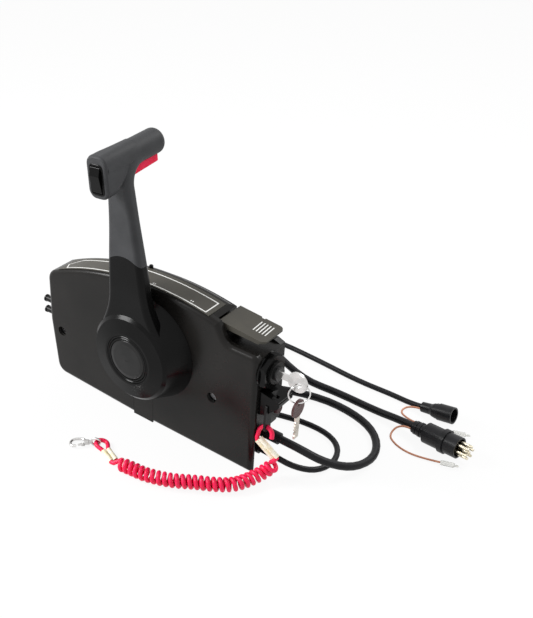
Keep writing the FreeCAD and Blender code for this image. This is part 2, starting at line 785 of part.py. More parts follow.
def head_section(y, width, height, radius):
    """Rounded rectangle across the head whose top lies in the grip's top line."""
    w, top = width / 2, grip_top(y) + head_proud
    corners = [(-w, top - height, radius), (w, top - height, radius), (w, top, radius), (-w, top, radius)]
    return rounded_wire(corners, lambda u, v: V(u, y, v))


def head_loft():
    """Block at the front of the grip that holds the trim rocker, drawn in towards the elbow."""
    front = []
    for y, inset in ((0, 2.2), (0.7, 0.8), (2.5, 0), (14, 0)):
        section = head_section(head_front + y, head_width - 2 * inset, head_height - 2 * inset, 10.0 - inset)
        section.translate(V(0, 0, -inset))
        front.append(section)
    back = [head_section(head_front + y, head_width - 0.2 * (y - 14) / 4, head_height * share, radius)
            for y, share, radius in ((14, 1.0, 10.0), (22, 0.93, 10.8), (32, 0.79, 11.6), (42, 0.68, 12.0),
                                     (52, 0.61, 12.2))]
    return Part.makeLoft(front, True, True).fuse(Part.makeLoft(back, True))


def above_seam(gap):
    """Everything above the arched seam between arm and overmould."""
    low = seam_height - seam_arch / 2 + gap
    high = seam_height + seam_arch / 2 + gap
    half = arm_seam_half + 4
    front, above = head_front - 10, grip_height + head_height
    bow = Part.Arc(V(-half, front, low), V(0, front, high), V(half, front, low)).toShape()
    edges = [bow, Part.LineSegment(V(half, front, low), V(half, front, above)).toShape(),
             Part.LineSegment(V(half, front, above), V(-half, front, above)).toShape(),
             Part.LineSegment(V(-half, front, above), V(-half, front, low)).toShape()]
    return Part.Face(Part.Wire(edges)).extrude(V(0, grip_end - front, 0))


def arm_tongue(gap):
    """Core of the arm that reaches up inside the overmould."""
    return box(-tongue_half - gap, tongue_half + gap, arm_front + 7 - gap, arm_back - 3 + gap,
               seam_height - 20, neck_height - 12 + gap)


def rod_channel(radius):
    """Straight way of the lock rod from the hub to the trigger."""
    return cyl(radius, (0, rod_y, lock_ring_radius + 0.6), (0, 0, 1), link_z - lock_ring_radius)


def make_lever_arm():
    """Hub and lower arm in one moulding, hollow behind, with the core tongue."""
    recess_y = hub_face_y + cap_recess
    profile = [V(0, hub_face_y, 0), V(cap_ring_outer + 3, hub_face_y, 0), V(hub_radius - 3.7, hub_face_y + 2.8, 0),
               V(hub_radius, hub_face_y + 6, 0), V(hub_base_radius, -housing_depth - hub_gap, 0),
               V(0, -housing_depth - hub_gap, 0), V(0, hub_face_y, 0)]
    hub = Part.Face(Part.makePolygon(profile)).revolve(V(0, 0, 0), V(0, 1, 0), 360)
    body = hub.fuse(arm_loft().cut(above_seam(0)))
    inside = [V(0, recess_y + hub_wall, 0), V(hub_radius - hub_wall, recess_y + hub_wall, 0),
              V(hub_base_radius - hub_wall, -housing_depth, 0), V(0, -housing_depth, 0),
              V(0, recess_y + hub_wall, 0)]
    body = body.cut(Part.Face(Part.makePolygon(inside)).revolve(V(0, 0, 0), V(0, 1, 0), 360))
    body = body.fuse(cyl(shaft_radius + 4, (0, recess_y, 0), (0, 1, 0), 24.0))
    body = body.cut(cyl(cap_ring_outer + 0.2, (0, hub_face_y - 1, 0), (0, 1, 0), cap_recess + 1))
    body = body.cut(cyl(shaft_radius, (0, recess_y - 1, 0), (0, 1, 0), 40.0))
    body = body.fuse(arm_tongue(0))
    return body.cut(rod_channel(rod_radius + 0.4)).removeSplitter()


def make_grip_overmould():
    """Soft grip: upper arm, elbow, grip and rocker head in one piece."""
    body = arm_loft().common(above_seam(0))
    for part in (elbow_loft(), grip_solid(), head_loft()):
        body = body.fuse(part)
    body = body.cut(arm_tongue(0.1))
    body = body.cut(rod_channel(rod_radius + 0.4)).cut(trigger_room())
    w, h = bezel_width / 2, bezel_height / 2
    pocket = front_plate([(-w, rocker_z - h, 5), (w, rocker_z - h, 5), (w, rocker_z + h, 5), (-w, rocker_z + h, 5)],
                         head_front - 1, head_front + bezel_depth)
    well = box(-rocker_width / 2 - 1, rocker_width / 2 + 1, head_front, head_front + 11,
               rocker_z - rocker_height / 2 - 1, rocker_z + rocker_height / 2 + 1)
    reach = rocker_width / 2 + trunnion_reach + rocker_gap
    sockets = cyl(trunnion_radius + running_clearance, (-reach, rocker_pivot_y, rocker_z), (1, 0, 0), 2 * reach)
    return body.cut(pocket).cut(well).cut(sockets).removeSplitter()


def trigger_outline(grow):
    """Side outline of the trigger blade, under the grip."""
    front, back = trigger_front - grow, trigger_back + grow
    return [(front, trigger_bottom - grow, 0), (back, trigger_bottom_back - grow, 1.5 + grow),
            (back, trigger_top + grow, 1.5), (front, trigger_top + grow, 1.5)]


def trigger_room():
    """Slot in the grip that the trigger rises into, and the way of its cross link."""
    half = trigger_width / 2 + trigger_gap
    corners = trigger_outline(trigger_gap)
    raised = [(y, z + trigger_travel, r) for y, z, r in corners]
    slot = side_plate(corners, -half, half).fuse(side_plate(raised, -half, half))
    link = box(-link_half - trigger_gap, link_half + trigger_gap, rod_y - 4, trigger_front + 2,
               link_z - link_half_height - trigger_gap, link_z + link_half_height + trigger_travel + trigger_gap)
    socket = cyl(spring_radius + 1.0, (0, spring_y, trigger_top), (0, 0, 1), spring_top - trigger_top)
    return slot.fuse(link).fuse(socket)


def make_trigger():
    """Neutral lock trigger with its cross link to the rod."""
    blade = side_plate(trigger_outline(0), -trigger_width / 2, trigger_width / 2)
    middle = (trigger_bottom + trigger_bottom_back) / 2
    edges = [e for e in blade.Edges if e.CenterOfMass.z < middle + 1 and e.Length > 1.5 * trigger_width]
    blade = blade.makeFillet(trigger_round, edges)
    link = box(-link_half, link_half, rod_y - 3.6, trigger_front + 2, link_z - link_half_height,
               link_z + link_half_height)
    return blade.fuse(link).removeSplitter()


def make_lock_rod():
    """Rod down the arm whose foot stands over the neutral notch."""
    return cyl(rod_radius, (0, rod_y, lock_ring_radius + 0.6), (0, 0, 1), link_z - link_half_height - lock_ring_radius - 0.6)


def make_trigger_spring():
    """Coil spring between the trigger's top and the grip."""
    height = spring_top - trigger_top - 2 * spring_wire
    path = Part.makeHelix(height / spring_turns, height, spring_radius - spring_wire)
    start = V(spring_radius - spring_wire, 0, 0)
    ring = Part.Wire(Part.makeCircle(spring_wire, start, V(0, 1, 0)))
    coil = Part.Wire(path).makePipeShell([ring], True, True)
    coil.translate(V(0, spring_y, trigger_top + spring_wire))
    return coil


def spun(profile, center, axis):
    """Solid of revolution about the Y axis from (radius, y) points."""
    points = [V(r, y, 0) for r, y in profile]
    return Part.Face(Part.makePolygon(points + points[:1])).revolve(V(*center), V(*axis), 360)


def make_hub_cap():
    """Domed cap over the lever bolt."""
    seat = hub_face_y + cap_recess
    top = hub_face_y - 1.2
    return spun([(0, top), (cap_radius - 5, top + 0.3), (cap_radius - 1, top + 1.1), (cap_radius, top + 2.2),
                 (cap_radius, seat), (12, seat), (12, top + 2.0), (0, top + 2.0)], (0, 0, 0), (0, 1, 0))


def make_cap_ring():
    """Ring round the cap with a shallow groove."""
    seat = hub_face_y + cap_recess
    top = hub_face_y - 0.3
    middle = (cap_radius + cap_ring_outer) / 2
    return spun([(cap_radius, seat), (cap_ring_outer, seat), (cap_ring_outer, top + 0.8), (cap_ring_outer - 0.8, top),
                 (middle + 0.8, top), (middle, top + 0.8), (middle - 0.8, top), (cap_radius, top)],
                (0, 0, 0), (0, 1, 0))


def make_rocker_bezel():
    """Frame round the trim rocker, pressed in the head's pocket."""
    w, h = bezel_width / 2, bezel_height / 2
    plate = front_plate([(-w, rocker_z - h, 5), (w, rocker_z - h, 5), (w, rocker_z + h, 5), (-w, rocker_z + h, 5)],
                        head_front - 0.8, head_front + bezel_depth)
    edges = outer_edges(plate, head_front - 0.8)
    plate = plate.makeChamfer(0.5, edges)
    x, z = rocker_width / 2 + rocker_gap, rocker_height / 2 + rocker_gap
    return plate.cut(box(-x, x, head_front - 2, head_front + bezel_depth + 1, rocker_z - z, rocker_z + z))


def make_trim_rocker():
    """Two-way rocker with a ridge in its upper third and a trunnion on each side."""
    low, high = rocker_z - rocker_height / 2, rocker_z + rocker_height / 2
    ridge = rocker_z + rocker_height * 0.18
    corners = [(head_front + 7, low, 0), (head_front - 1.2, low, 1.0), (head_front - 4.2, ridge, 1.0),
               (head_front - 1.5, high, 1.0), (head_front + 7, high, 0)]
    body = side_plate(corners, -rocker_width / 2, rocker_width / 2)
    reach = rocker_width / 2 + trunnion_reach
    return body.fuse(cyl(trunnion_radius, (-reach, rocker_pivot_y, rocker_z), (1, 0, 0), 2 * reach)).removeSplitter()


def idle_top(x):
    """Height of the fast idle plate's top."""
    return idle_height - (x - idle_left) * math.tan(math.radians(idle_slope))


def make_idle_plate():
    """Fast idle lever: sloping plate with a lip, a notch and a hinge knuckle."""
    low = idle_thickness
    corners = [(idle_left, idle_top(idle_left), 1.2), (idle_right, idle_top(idle_right), 0.8),
               (idle_right, idle_top(idle_right) - low, 0.8), (idle_left, idle_top(idle_left) - low, 0.8)]
    plate = front_plate(corners, idle_front, idle_back)
    for y, inward in ((idle_front, 1), (idle_back, -1)):
        x, middle = idle_right - idle_corner, y + inward * idle_corner
        block = box(x, idle_right + 1, min(middle, y - inward), max(middle, y - inward), recess_floor, crown_z)
        plate = plate.cut(block.cut(cyl(idle_corner, (x, middle, recess_floor), (0, 0, 1), crown_z)))
    plate = plate.cut(box(idle_notch[0], idle_notch[1], idle_back - 1.8, idle_back + 1, recess_floor, crown_z))
    lip = front_plate([(idle_left + 5, idle_top(idle_left + 5) - 1, 0), (idle_right - 7, idle_top(idle_right - 7) - 1, 0),
                       (idle_right - 7, idle_top(idle_right - 7) - 5, 0), (idle_left + 5, idle_top(idle_left + 5) - 7, 0)],
                      idle_front, idle_front + 1.6)
    front, back = idle_front + 0.4, idle_ear_front - 0.5
    knuckle = cyl(idle_knuckle_radius, (idle_pivot_x, front, idle_pivot_z), (0, 1, 0), back - front)
    web = box(idle_pivot_x - 2.2, idle_pivot_x + 2.2, front, back, idle_pivot_z, idle_top(idle_pivot_x) - 1)
    bore = cyl(idle_pin_radius + running_clearance, (idle_pivot_x, front - 2, idle_pivot_z), (0, 1, 0), -front)
    return plate.fuse(lip).fuse(knuckle).fuse(web).cut(bore).removeSplitter()


def make_idle_pin():
    """Hinge pin of the fast idle lever, from the front rim to the ear."""
    start = recess_front - idle_pin_root
    return cyl(idle_pin_radius, (idle_pivot_x, start, idle_pivot_z), (0, 1, 0), idle_ear_back - start)


def make_ignition_body():
    """Switch body inside the end wall, with its threaded neck outside."""
    inner = right_x - wall
    body = cyl(switch_body_radius, (inner - switch_body_length, key_y, key_z), (1, 0, 0), switch_body_length)
    neck = cyl(switch_radius, (inner, key_y, key_z), (1, 0, 0), wall + switch_reach)
    bore = cyl(barrel_radius + running_clearance, (right_x - 20, key_y, key_z), (1, 0, 0), 20 + switch_reach + 1)
    return body.fuse(neck).cut(bore).removeSplitter()


def make_ignition_nut():
    """Hexagon nut with a round flange."""
    flange = cyl(nut_flange_radius, (right_x, key_y, key_z), (1, 0, 0), nut_flange)
    radius = nut_flats / math.sqrt(3)
    points = [V(right_x, key_y + radius * math.sin(math.radians(60 * k)),
                key_z + radius * math.cos(math.radians(60 * k))) for k in range(7)]
    nut = Part.Face(Part.makePolygon(points)).extrude(V(nut_thickness, 0, 0))
    round_off = Part.makeCone(radius + 6, radius - 1.6, nut_thickness, V(right_x, key_y, key_z), V(1, 0, 0))
    nut = nut.common(round_off)
    return nut.fuse(flange).cut(cyl(switch_radius, (right_x - 1, key_y, key_z), (1, 0, 0), 12)).removeSplitter()


def make_key_barrel():
    """Turning barrel of the key switch, slotted for the key."""
    start = right_x - 19.7
    barrel = cyl(barrel_radius, (start, key_y, key_z), (1, 0, 0), right_x + barrel_reach - start)
    t, h = blade_thickness / 2, blade_height / 2
    return barrel.cut(box(blade_tip_x, 180, key_y - t, key_y + t, key_z - h, key_z + h))


def make_ignition_key():
    """Flat metal key in the barrel, with a round bow."""
    t, h = blade_thickness / 2, blade_height / 2
    blade = box(blade_tip_x, bow_center_x, key_y - t, key_y + t, key_z - h, key_z + h)
    bow = cyl(bow_radius, (bow_center_x, key_y - bow_thickness / 2, key_z), (0, 1, 0), bow_thickness)
    hole = cyl(key_hole_radius, (key_hole_x, key_y - 5, key_hole_z), (0, 1, 0), 10)
    return blade.fuse(bow).cut(hole).removeSplitter()


def ring_center():
    return V(key_hole_x, key_y, key_hole_z - ring_radius)


def make_key_ring():
    """Ring through both keys."""
    a = math.radians(ring_turn)
    normal = V(-math.sin(a), math.cos(a), 0)
    return Part.makeTorus(ring_radius, ring_wire, ring_center(), normal)


def make_spare_key():
    """Spare key hanging from the ring."""
    hole_z = key_hole_z - 2 * ring_radius
    x = key_hole_x
    bow_z = hole_z - spare_bow_drop
    bow = cyl(spare_bow_radius, (x - bow_thickness / 2, key_y, bow_z), (1, 0, 0), bow_thickness)
    blade = box(x - blade_thickness / 2, x + blade_thickness / 2, key_y - blade_height / 2, key_y + blade_height / 2,
                spare_blade_end, bow_z)
    for k in range(5):
        z = spare_blade_end + 5 + 4.6 * k
        depth = 1.2 + 0.8 * (k * 3 % 4) / 2
        y = key_y - blade_height / 2
        cut = Part.Face(Part.makePolygon([V(x - 5, y - 1, z - 2.4), V(x - 5, y + depth, z - 0.4),
                                          V(x - 5, y + depth, z + 0.4), V(x - 5, y - 1, z + 2.4),
                                          V(x - 5, y - 1, z - 2.4)]))
        blade = blade.cut(cut.extrude(V(10, 0, 0)))
    hole = cyl(spare_hole_radius, (x - 5, key_y, hole_z), (1, 0, 0), 10)
    return bow.fuse(blade).cut(hole).removeSplitter()


def make_stop_body():
    """Wedge hood over the stop switch, open below, with the switch's collar."""
    outline = [(right_x, 2.4, 0), (hood_right, -2.5, 1.5), (hood_right - 0.4, -8.6, 1.5), (clip_x, -25.3, 2),
               (right_x, -28.6, 0)]
    hood = front_plate(outline, hood_front, hood_back)
    left, right = right_x + hood_wall, hood_right - hood_wall
    space = [(left, 0.0, 0), (right, -4.4, 0), (right, -7.0, 0), (right + 6, -13.0, 0), (right - 8, -40.0, 0),
             (left, -40.0, 0)]
    hood = hood.cut(front_plate(space, hood_front + hood_wall, hood_back - hood_wall))
    hood = hood.fuse(cyl(stop_collar_radius, (right_x, stop_y, stop_z), (1, 0, 0), collar_end_x - right_x))
    hood = hood.cut(cyl(stop_neck_radius + running_clearance, (right_x + 0.4, stop_y, stop_z), (1, 0, 0), 20))
    hood = hood.cut(box(clip_x - 0.4, clip_x + clip_thickness + 0.4, hood_front - 1, hood_front + hood_wall + 1,
                        -40, stop_z + stop_collar_radius + 1))
    return hood.cut(box(167, 171, -40.5, -35.5, -8, 3)).removeSplitter()


def make_stop_button():
    """Mushroom button held out by the safety clip."""
    neck = cyl(stop_neck_radius, (right_x + 3, stop_y, stop_z), (1, 0, 0), stop_head_x - right_x - 3)
    head = cyl(stop_head_radius, (stop_head_x, stop_y, stop_z), (1, 0, 0), stop_head_length)
    head = head.makeFillet(1.2, [e for e in head.Edges if abs(e.CenterOfMass.x - stop_head_x - stop_head_length) < 0.1])
    return neck.fuse(head).removeSplitter()


def make_clip():
    """Fork that slips behind the stop button, with an eye below for the lanyard."""
    y_eye, z_eye = clip_eye
    top, low = stop_z + stop_collar_radius, stop_z - stop_collar_radius
    slot = clip_slot_half
    corners = [(stop_y + 9, top, 1.5), (stop_y + 9, stop_z + slot, 0.8), (stop_y, stop_z + slot, slot * 0.95),
               (stop_y - slot, stop_z + slot, 0), (stop_y - slot, stop_z - slot, 0)]
    plate = side_plate([(hood_front - 2, top, 2), (stop_y + 9, top, 2), (stop_y + 9, low, 2),
                        (y_eye + 5.6, low, 2), (y_eye + 5.6, z_eye - 5.6, 5), (y_eye - 5.6, z_eye - 5.6, 5),
                        (y_eye - 5.6, low - 3, 3)], clip_x, clip_x + clip_thickness)
    way = box(clip_x - 1, clip_x + clip_thickness + 1, stop_y, stop_y + 12, stop_z - slot, stop_z + slot)
    way = way.fuse(cyl(slot, (clip_x - 1, stop_y, stop_z), (1, 0, 0), clip_thickness + 2))
    eye = cyl(clip_eye_radius, (clip_x - 1, y_eye, z_eye), (1, 0, 0), clip_thickness + 2)
    return plate.cut(way).cut(eye).removeSplitter()


def bent_rod(points, radius, name=""):
    """Round rod through a route's points: straight runs joined by tangent arcs."""
    path = [V(*p) for p in points]
    edges = []
    start = path[0]
    tightest = 1e9
    for before, corner, after in zip(path, path[1:], path[2:]):
        a = (before - corner)
        b = (after - corner)
        reach = 0.45 * min(a.Length, b.Length)
        turn = math.pi - a.getAngle(b)
        bend = reach / math.tan(turn / 2)
        tightest = min(tightest, bend)
        a.normalize()
        b.normalize()
        first, last = corner + a * reach, corner + b * reach
        toward = (a + b).normalize()
        middle = corner + toward * (bend / math.cos(turn / 2) - bend)
        edges.append(Part.LineSegment(start, first).toShape())
        edges.append(Part.Arc(first, middle, last).toShape())
        start = last
    edges.append(Part.LineSegment(start, path[-1]).toShape())
    wire = Part.Wire(edges)
    ring = Part.Wire(Part.makeCircle(radius, path[0], path[1] - path[0]))
    rod = wire.makePipeShell([ring], True, False)
    if name:
        share = rod.Volume / (math.pi * radius ** 2 * wire.Length)
        print("  ", name, "length", round(wire.Length, 1), "tightest bend", round(tightest, 1),
              "volume share", round(share, 4))
    return rod


def loop_axis():
    """Centre and normal of the loop that hangs in the clip's eye, leaning forward."""
    lean_forward = math.radians(20)
    x = clip_x + clip_thickness / 2 + 0.7
    center = V(x, clip_eye[0] - loop_radius * math.sin(lean_forward), clip_eye[1] - loop_radius * math.cos(lean_forward))
    return center, V(0, math.cos(lean_forward), -math.sin(lean_forward))


def crimp_line(start, end):
    """Direction of a pair of crimps, their length, and the step from the middle to either one."""
    along = V(*end) - V(*start)
    length = along.Length
    along.normalize()
    side = V(-along.z, 0, along.x) if abs(along.z) > 0.1 else V(-along.y, along.x, 0)
    return along, length, side.normalize() * crimp_offset


def doubled_cord(start, end, extra):
    """The two lengths of cord that lie side by side in a pair of crimps."""
    along, length, side = crimp_line(start, end)
    return [Part.makeCylinder(lanyard_cord / 2, length + 2 * extra, V(*start) + side * sign - along * extra, along)
            for sign in (1, -1)]


def crimps(start, end):
    """Two crimp sleeves side by side round the doubled cord."""
    along, length, side = crimp_line(start, end)
    pair = []
    for sign in (1, -1):
        at = V(*start) + side * sign
        sleeve = Part.makeCylinder(crimp_radius, length, at, along)
        pair.append(sleeve.cut(Part.makeCylinder(lanyard_cord / 2, length, at, along)))
    return Part.makeCompound(pair)


def crimp_block(start, end):
    """Box round a pair of crimps that reaches well past them below and just past them above."""
    along, length, side = crimp_line(start, end)
    up = V(side.x, side.y, side.z).normalize()
    top = crimp_offset + crimp_radius + loop_gap
    block = Part.makeBox(length, 4 * crimp_radius + top, 6 * crimp_radius)
    turn = FreeCAD.Rotation(along, up, along.cross(up), "XYZ")
    corner = V(*start) - up * 4 * crimp_radius - along.cross(up) * 3 * crimp_radius
    block.Placement = FreeCAD.Placement(corner, turn)
    return block


def make_lanyard_loop():
    """Loop of cord in the clip's eye, its two lengths in the crimps and the lead to the curl."""
    center, normal = loop_axis()
    loop = Part.makeTorus(loop_radius, lanyard_cord / 2, center, normal)
    loop = loop.cut(crimp_block(crimp_start, crimp_end))
    left = V(center.x - loop_radius, center.y, center.z)
    down = normal.cross(V(1, 0, 0))
    quarter = Part.makeBox(loop_radius + lanyard_cord, 2 * loop_radius, 6 * lanyard_cord)
    place = left - V(1, 0, 0) * lanyard_cord - normal * 3 * lanyard_cord
    quarter.Placement = FreeCAD.Placement(place, FreeCAD.Rotation(V(1, 0, 0), down, normal, "XYZ"))
    along, length, side = crimp_line(crimp_start, crimp_end)
    low = V(*crimp_start) - side
    corner = low - along * leg_reach
    leg = bent_rod([tuple(left), tuple(corner), tuple(low + along * length)], lanyard_cord / 2)
    high = V(*crimp_start) + side
    points = [tuple(high - along * 2), tuple(high + along * (length + 4)), curl_route[0]]
    lead = bent_rod(points, lanyard_cord / 2)
    return Part.makeCompound([loop.cut(quarter).fuse(leg), lead])


def make_hook_loop():
    """Cord from the curl's end through the crimps, with a loop through the snap hook's eye."""
    loop = Part.makeTorus(hook_loop_radius, lanyard_cord / 2, V(*hook_loop_center), V(*hook_loop_normal))
    along, length, side = crimp_line(hook_crimp_start, hook_crimp_end)
    for cord in doubled_cord(hook_crimp_start, hook_crimp_end, 4.0):
        loop = loop.fuse(cord)
    start = V(*hook_crimp_start) - along * 4 + side
    lead = bent_rod([curl_route[-1], tuple(start - along * 4), tuple(start + along)], lanyard_cord / 2)
    return loop.fuse(lead).removeSplitter()


def at_hook(shape):
    """Place a piece that was built along +X at the snap hook's eye."""
    turned = shape.copy()
    turned.rotate(V(0, 0, 0), V(0, 1, 0), hook_droop)
    turned.rotate(V(0, 0, 0), V(0, 0, 1), hook_heading)
    turned.translate(V(*hook_eye))
    return turned


def make_snap_hook():
    """Snap hook: eye ring, swivel barrel and a hook with an open side for its gate."""
    eye = Part.makeTorus(5.0, 1.4, V(0, 0, 0), V(0, 1, 0))
    neck = cyl(2.0, (5.4, 0, 0), (1, 0, 0), 3.6)
    barrel = cyl(3.2, (8, 0, 0), (1, 0, 0), 5.0)
    rod = bent_rod([(12, -0.5, 0), (15.5, -6.0, 0), (28, -6.2, 0), (31.5, 0.2, 0), (28, 6.4, 0), (22.5, 6.4, 0)], 1.6)
    lug = box(12.5, 17.0, 0.4, 5.0, -1.9, -0.8)
    pin = cyl(0.7, (15.0, 3.2, -1.9), (0, 0, 1), 3.2)
    return at_hook(join([eye, neck, barrel, rod, lug, pin]))


def make_hook_gate():
    """Sprung gate between the hook's base and its tip."""
    gate = front_gate([(15.0, 3.2), (21.9, 5.6)])
    gate = gate.cut(cyl(0.7 + running_clearance, (15.0, 3.2, -5), (0, 0, 1), 10))
    return at_hook(gate)


def front_gate(ends):
    """Flat bar with round ends between two points."""
    (x0, y0), (x1, y1) = ends
    length = math.hypot(x1 - x0, y1 - y0)
    bar = box(0, length - 1.4, -1.3, 1.3, -0.7, 0.9).fuse(cyl(1.6, (0, 0, -0.7), (0, 0, 1), 1.6))
    bar.rotate(V(0, 0, 0), V(0, 0, 1), math.degrees(math.atan2(y1 - y0, x1 - x0)))
    bar.translate(V(x0, y0, 0))
    return bar.removeSplitter()


def make_gland(place, cord, length):
    """Rubber sleeve of a harness cable, flanged inside the outlet's wall."""
    y, z = place
    radius = gland_radius(cord)
    body = cyl(radius, (outlet_left - wall - 2, y, z), (1, 0, 0), wall + 2 + length)
    flange = cyl(radius + 2.5, (outlet_left - wall - 2, y, z), (1, 0, 0), 2.0)
    rib = cyl(radius + 1.5, (outlet_left, y, z), (1, 0, 0), 3.0)
    bore = cyl(cord / 2, (outlet_left + length - 12, y, z), (1, 0, 0), 13)
    return body.fuse(flange).fuse(rib).cut(bore).removeSplitter()


def make_coil(center, turn_radius, columns, layers, cord):
    """Outer shape of a wound coil that stands on the floor."""
    outer = turn_radius + cord / 2
    inner = outer - columns * cord
    return tube(outer, inner, (center[0], center[1], floor_z), (0, 0, 1), layers * cord)


def turned_plug(profile, end, before):
    """Solid of revolution along a cable's last run; profile holds (distance, radius) points."""
    a, b = V(*before), V(*end)
    along = (b - a).normalize()
    points = [V(d, r, 0) for d, r in profile]
    plug = Part.Face(Part.makePolygon(points + points[:1])).revolve(V(0, 0, 0), V(1, 0, 0), 360)
    turn = FreeCAD.Rotation(V(1, 0, 0), along)
    plug.Placement = FreeCAD.Placement(b, turn)
    return plug


def make_engine_plug():
    """Round multi-pin plug: ribbed boot, body and open front shell."""
    profile = [(0, 0), (0, 7.5), (3, 7.5), (3, 8.4), (6, 8.4), (6, 7.6), (9, 7.6), (9, 9.0), (12, 9.0), (12, 8.2),
               (15, 8.2), (18, 12.6), (40, 12.6), (40, plug_radius), (46, plug_radius), (46, 12.9), (62, 12.9),
               (62, 11.0), (50, 11.0), (50, 0)]
    return turned_plug(profile, engine_tail[-1], engine_tail[-2])


def make_plug_pins():
    """Eight contact pins in the engine plug's shell."""
    a, b = V(*engine_tail[-2]), V(*engine_tail[-1])
    along = (b - a).normalize()
    turn = FreeCAD.Rotation(V(1, 0, 0), along)
    pins = []
    for k in range(8):
        angle = math.radians(45 * k)
        offset = turn.multVec(V(50, 6.5 * math.cos(angle), 6.5 * math.sin(angle)))
        pins.append(Part.makeCylinder(1.1, 9.0, b + offset, along))
    return Part.makeCompound(pins)


def make_tach_plug():
    """Round socket plug: slim boot that steps up to a hollow end."""
    profile = [(0, 0), (0, 6.3), (12, 6.8), (16, 8.6), (19, 8.6), (19, 9.4), (23, 9.4), (23, tach_plug_radius),
               (42, tach_plug_radius), (42, 8.4), (27, 8.4), (27, 0)]
    return turned_plug(profile, tach_tail[-1], tach_tail[-2])


def lead_route(tail, side, places):
    """Route of a thin lead that leaves the back of a plug beside its cable."""
    end = V(*tail[-1])
    along = (end - V(*tail[-2])).normalize()
    across = along.cross(V(0, 0, 1)).normalize()
    start = end + across * side - along * 0.2
    return [tuple(start), tuple(start - along * lead_exit)] + places


def make_bullet(route):
    """Clear sleeve with a bullet contact at the end of a thin lead."""
    profile = [(0, 0), (0, 2.4), (2, 2.9), (14, 2.9), (16, 2.2), (16, 1.4), (20, 1.2), (20.6, 0.6), (20.6, 0)]
    return turned_plug(profile, route[-1], route[-2])


def make_horn():
    """Warning buzzer stuck on the inside of the front wall."""
    can = cyl(13.0, (-100, -housing_depth + wall, 28), (0, 1, 0), 14.0)
    return can.cut(cyl(4.0, (-100, -housing_depth + wall + 12, 28), (0, 1, 0), 3.0))


def make_neutral_switch():
    """Small switch on the cover above the shaft, with its plunger."""
    body = box(-12, 12, -15, -wall, 18, 30)
    return body.fuse(cyl(1.5, (6, -10, 16.4), (0, 0, 1), 3)).removeSplitter()


save("front_housing", make_front_housing())
save("rear_cover", make_rear_cover())
save("gear_label_plate", make_label_plate())
save("access_panel", make_access_panel())
save("mounting_bolts", make_mounting_bolts())
save("cover_screws", make_cover_screws())
save("cable_ports", make_cable_ports())
save("shaft_bushes", make_shaft_bushes())
save("main_shaft", make_main_shaft())
save("lever_bolt", lean(make_lever_bolt()))
save("drive_gear", make_drive_gear())
save("shift_sector", make_sector_gear(0))
save("throttle_sector", make_sector_gear(1))
save("sector_pins", make_gear_pins())
save("lock_ring", make_lock_ring())
save("lever_arm", lean(make_lever_arm()))
save("grip_overmould", lean(make_grip_overmould()))
save("lock_trigger", lean(make_trigger()))
save("lock_rod", lean(make_lock_rod()))
save("trigger_spring", lean(make_trigger_spring()))
save("hub_cap", lean(make_hub_cap()))
save("cap_ring", lean(make_cap_ring()))
save("rocker_bezel", lean(make_rocker_bezel()))
save("trim_rocker", lean(make_trim_rocker()))
save("fast_idle_plate", make_idle_plate())
save("fast_idle_pin", make_idle_pin())
save("ignition_body", make_ignition_body())
save("ignition_nut", make_ignition_nut())
save("key_barrel", make_key_barrel())
save("ignition_key", make_ignition_key())
save("key_ring", make_key_ring())
save("spare_key", make_spare_key())
save("stop_switch_hood", make_stop_body())
save("stop_button", make_stop_button())
save("safety_clip", make_clip())
save("lanyard_loop", make_lanyard_loop())
save("clip_crimps", crimps(crimp_start, crimp_end))
save("lanyard_curl", bent_rod(curl_route, curl_diameter / 2, "lanyard_curl"))
save("hook_crimps", crimps(hook_crimp_start, hook_crimp_end))
save("hook_loop", make_hook_loop())
save("snap_hook", make_snap_hook())
save("hook_gate", make_hook_gate())
save("engine_gland", make_gland(engine_gland, engine_cord, engine_sleeve))
save("tach_gland", make_gland(tach_gland, tach_cord, tach_sleeve))
save("engine_cable_run", bent_rod(engine_run, engine_cord / 2, "engine_cable_run"))
save("engine_cable_coil", make_coil(engine_coil_center, engine_turn_radius, engine_coil_columns,
                                    engine_coil_layers, engine_cord))
save("engine_cable_tail", bent_rod(engine_tail, engine_cord / 2, "engine_cable_tail"))
save("engine_plug", make_engine_plug())
save("engine_plug_pins", make_plug_pins())
engine_lead_path = lead_route(engine_tail, engine_lead_side, engine_lead)
save("engine_lead", bent_rod(engine_lead_path, lead_cord / 2, "engine_lead"))
save("engine_bullet", make_bullet(engine_lead_path))
save("tach_cable_run", bent_rod(tach_run, tach_cord / 2, "tach_cable_run"))
save("tach_cable_coil", make_coil(tach_coil_center, tach_turn_radius, tach_coil_columns, tach_coil_layers, tach_cord))
save("tach_cable_tail", bent_rod(tach_tail, tach_cord / 2, "tach_cable_tail"))
save("tach_plug", make_tach_plug())
tach_lead_path = lead_route(tach_tail, tach_lead_side, tach_lead)
save("tach_lead", bent_rod(tach_lead_path, lead_cord / 2, "tach_lead"))
save("tach_bullet", make_bullet(tach_lead_path))
save("warning_horn", make_horn())
save("neutral_switch", make_neutral_switch())
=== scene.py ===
import bpy
import bmesh
import math
from mathutils import Matrix, Vector
from mathutils.bvhtree import BVHTree


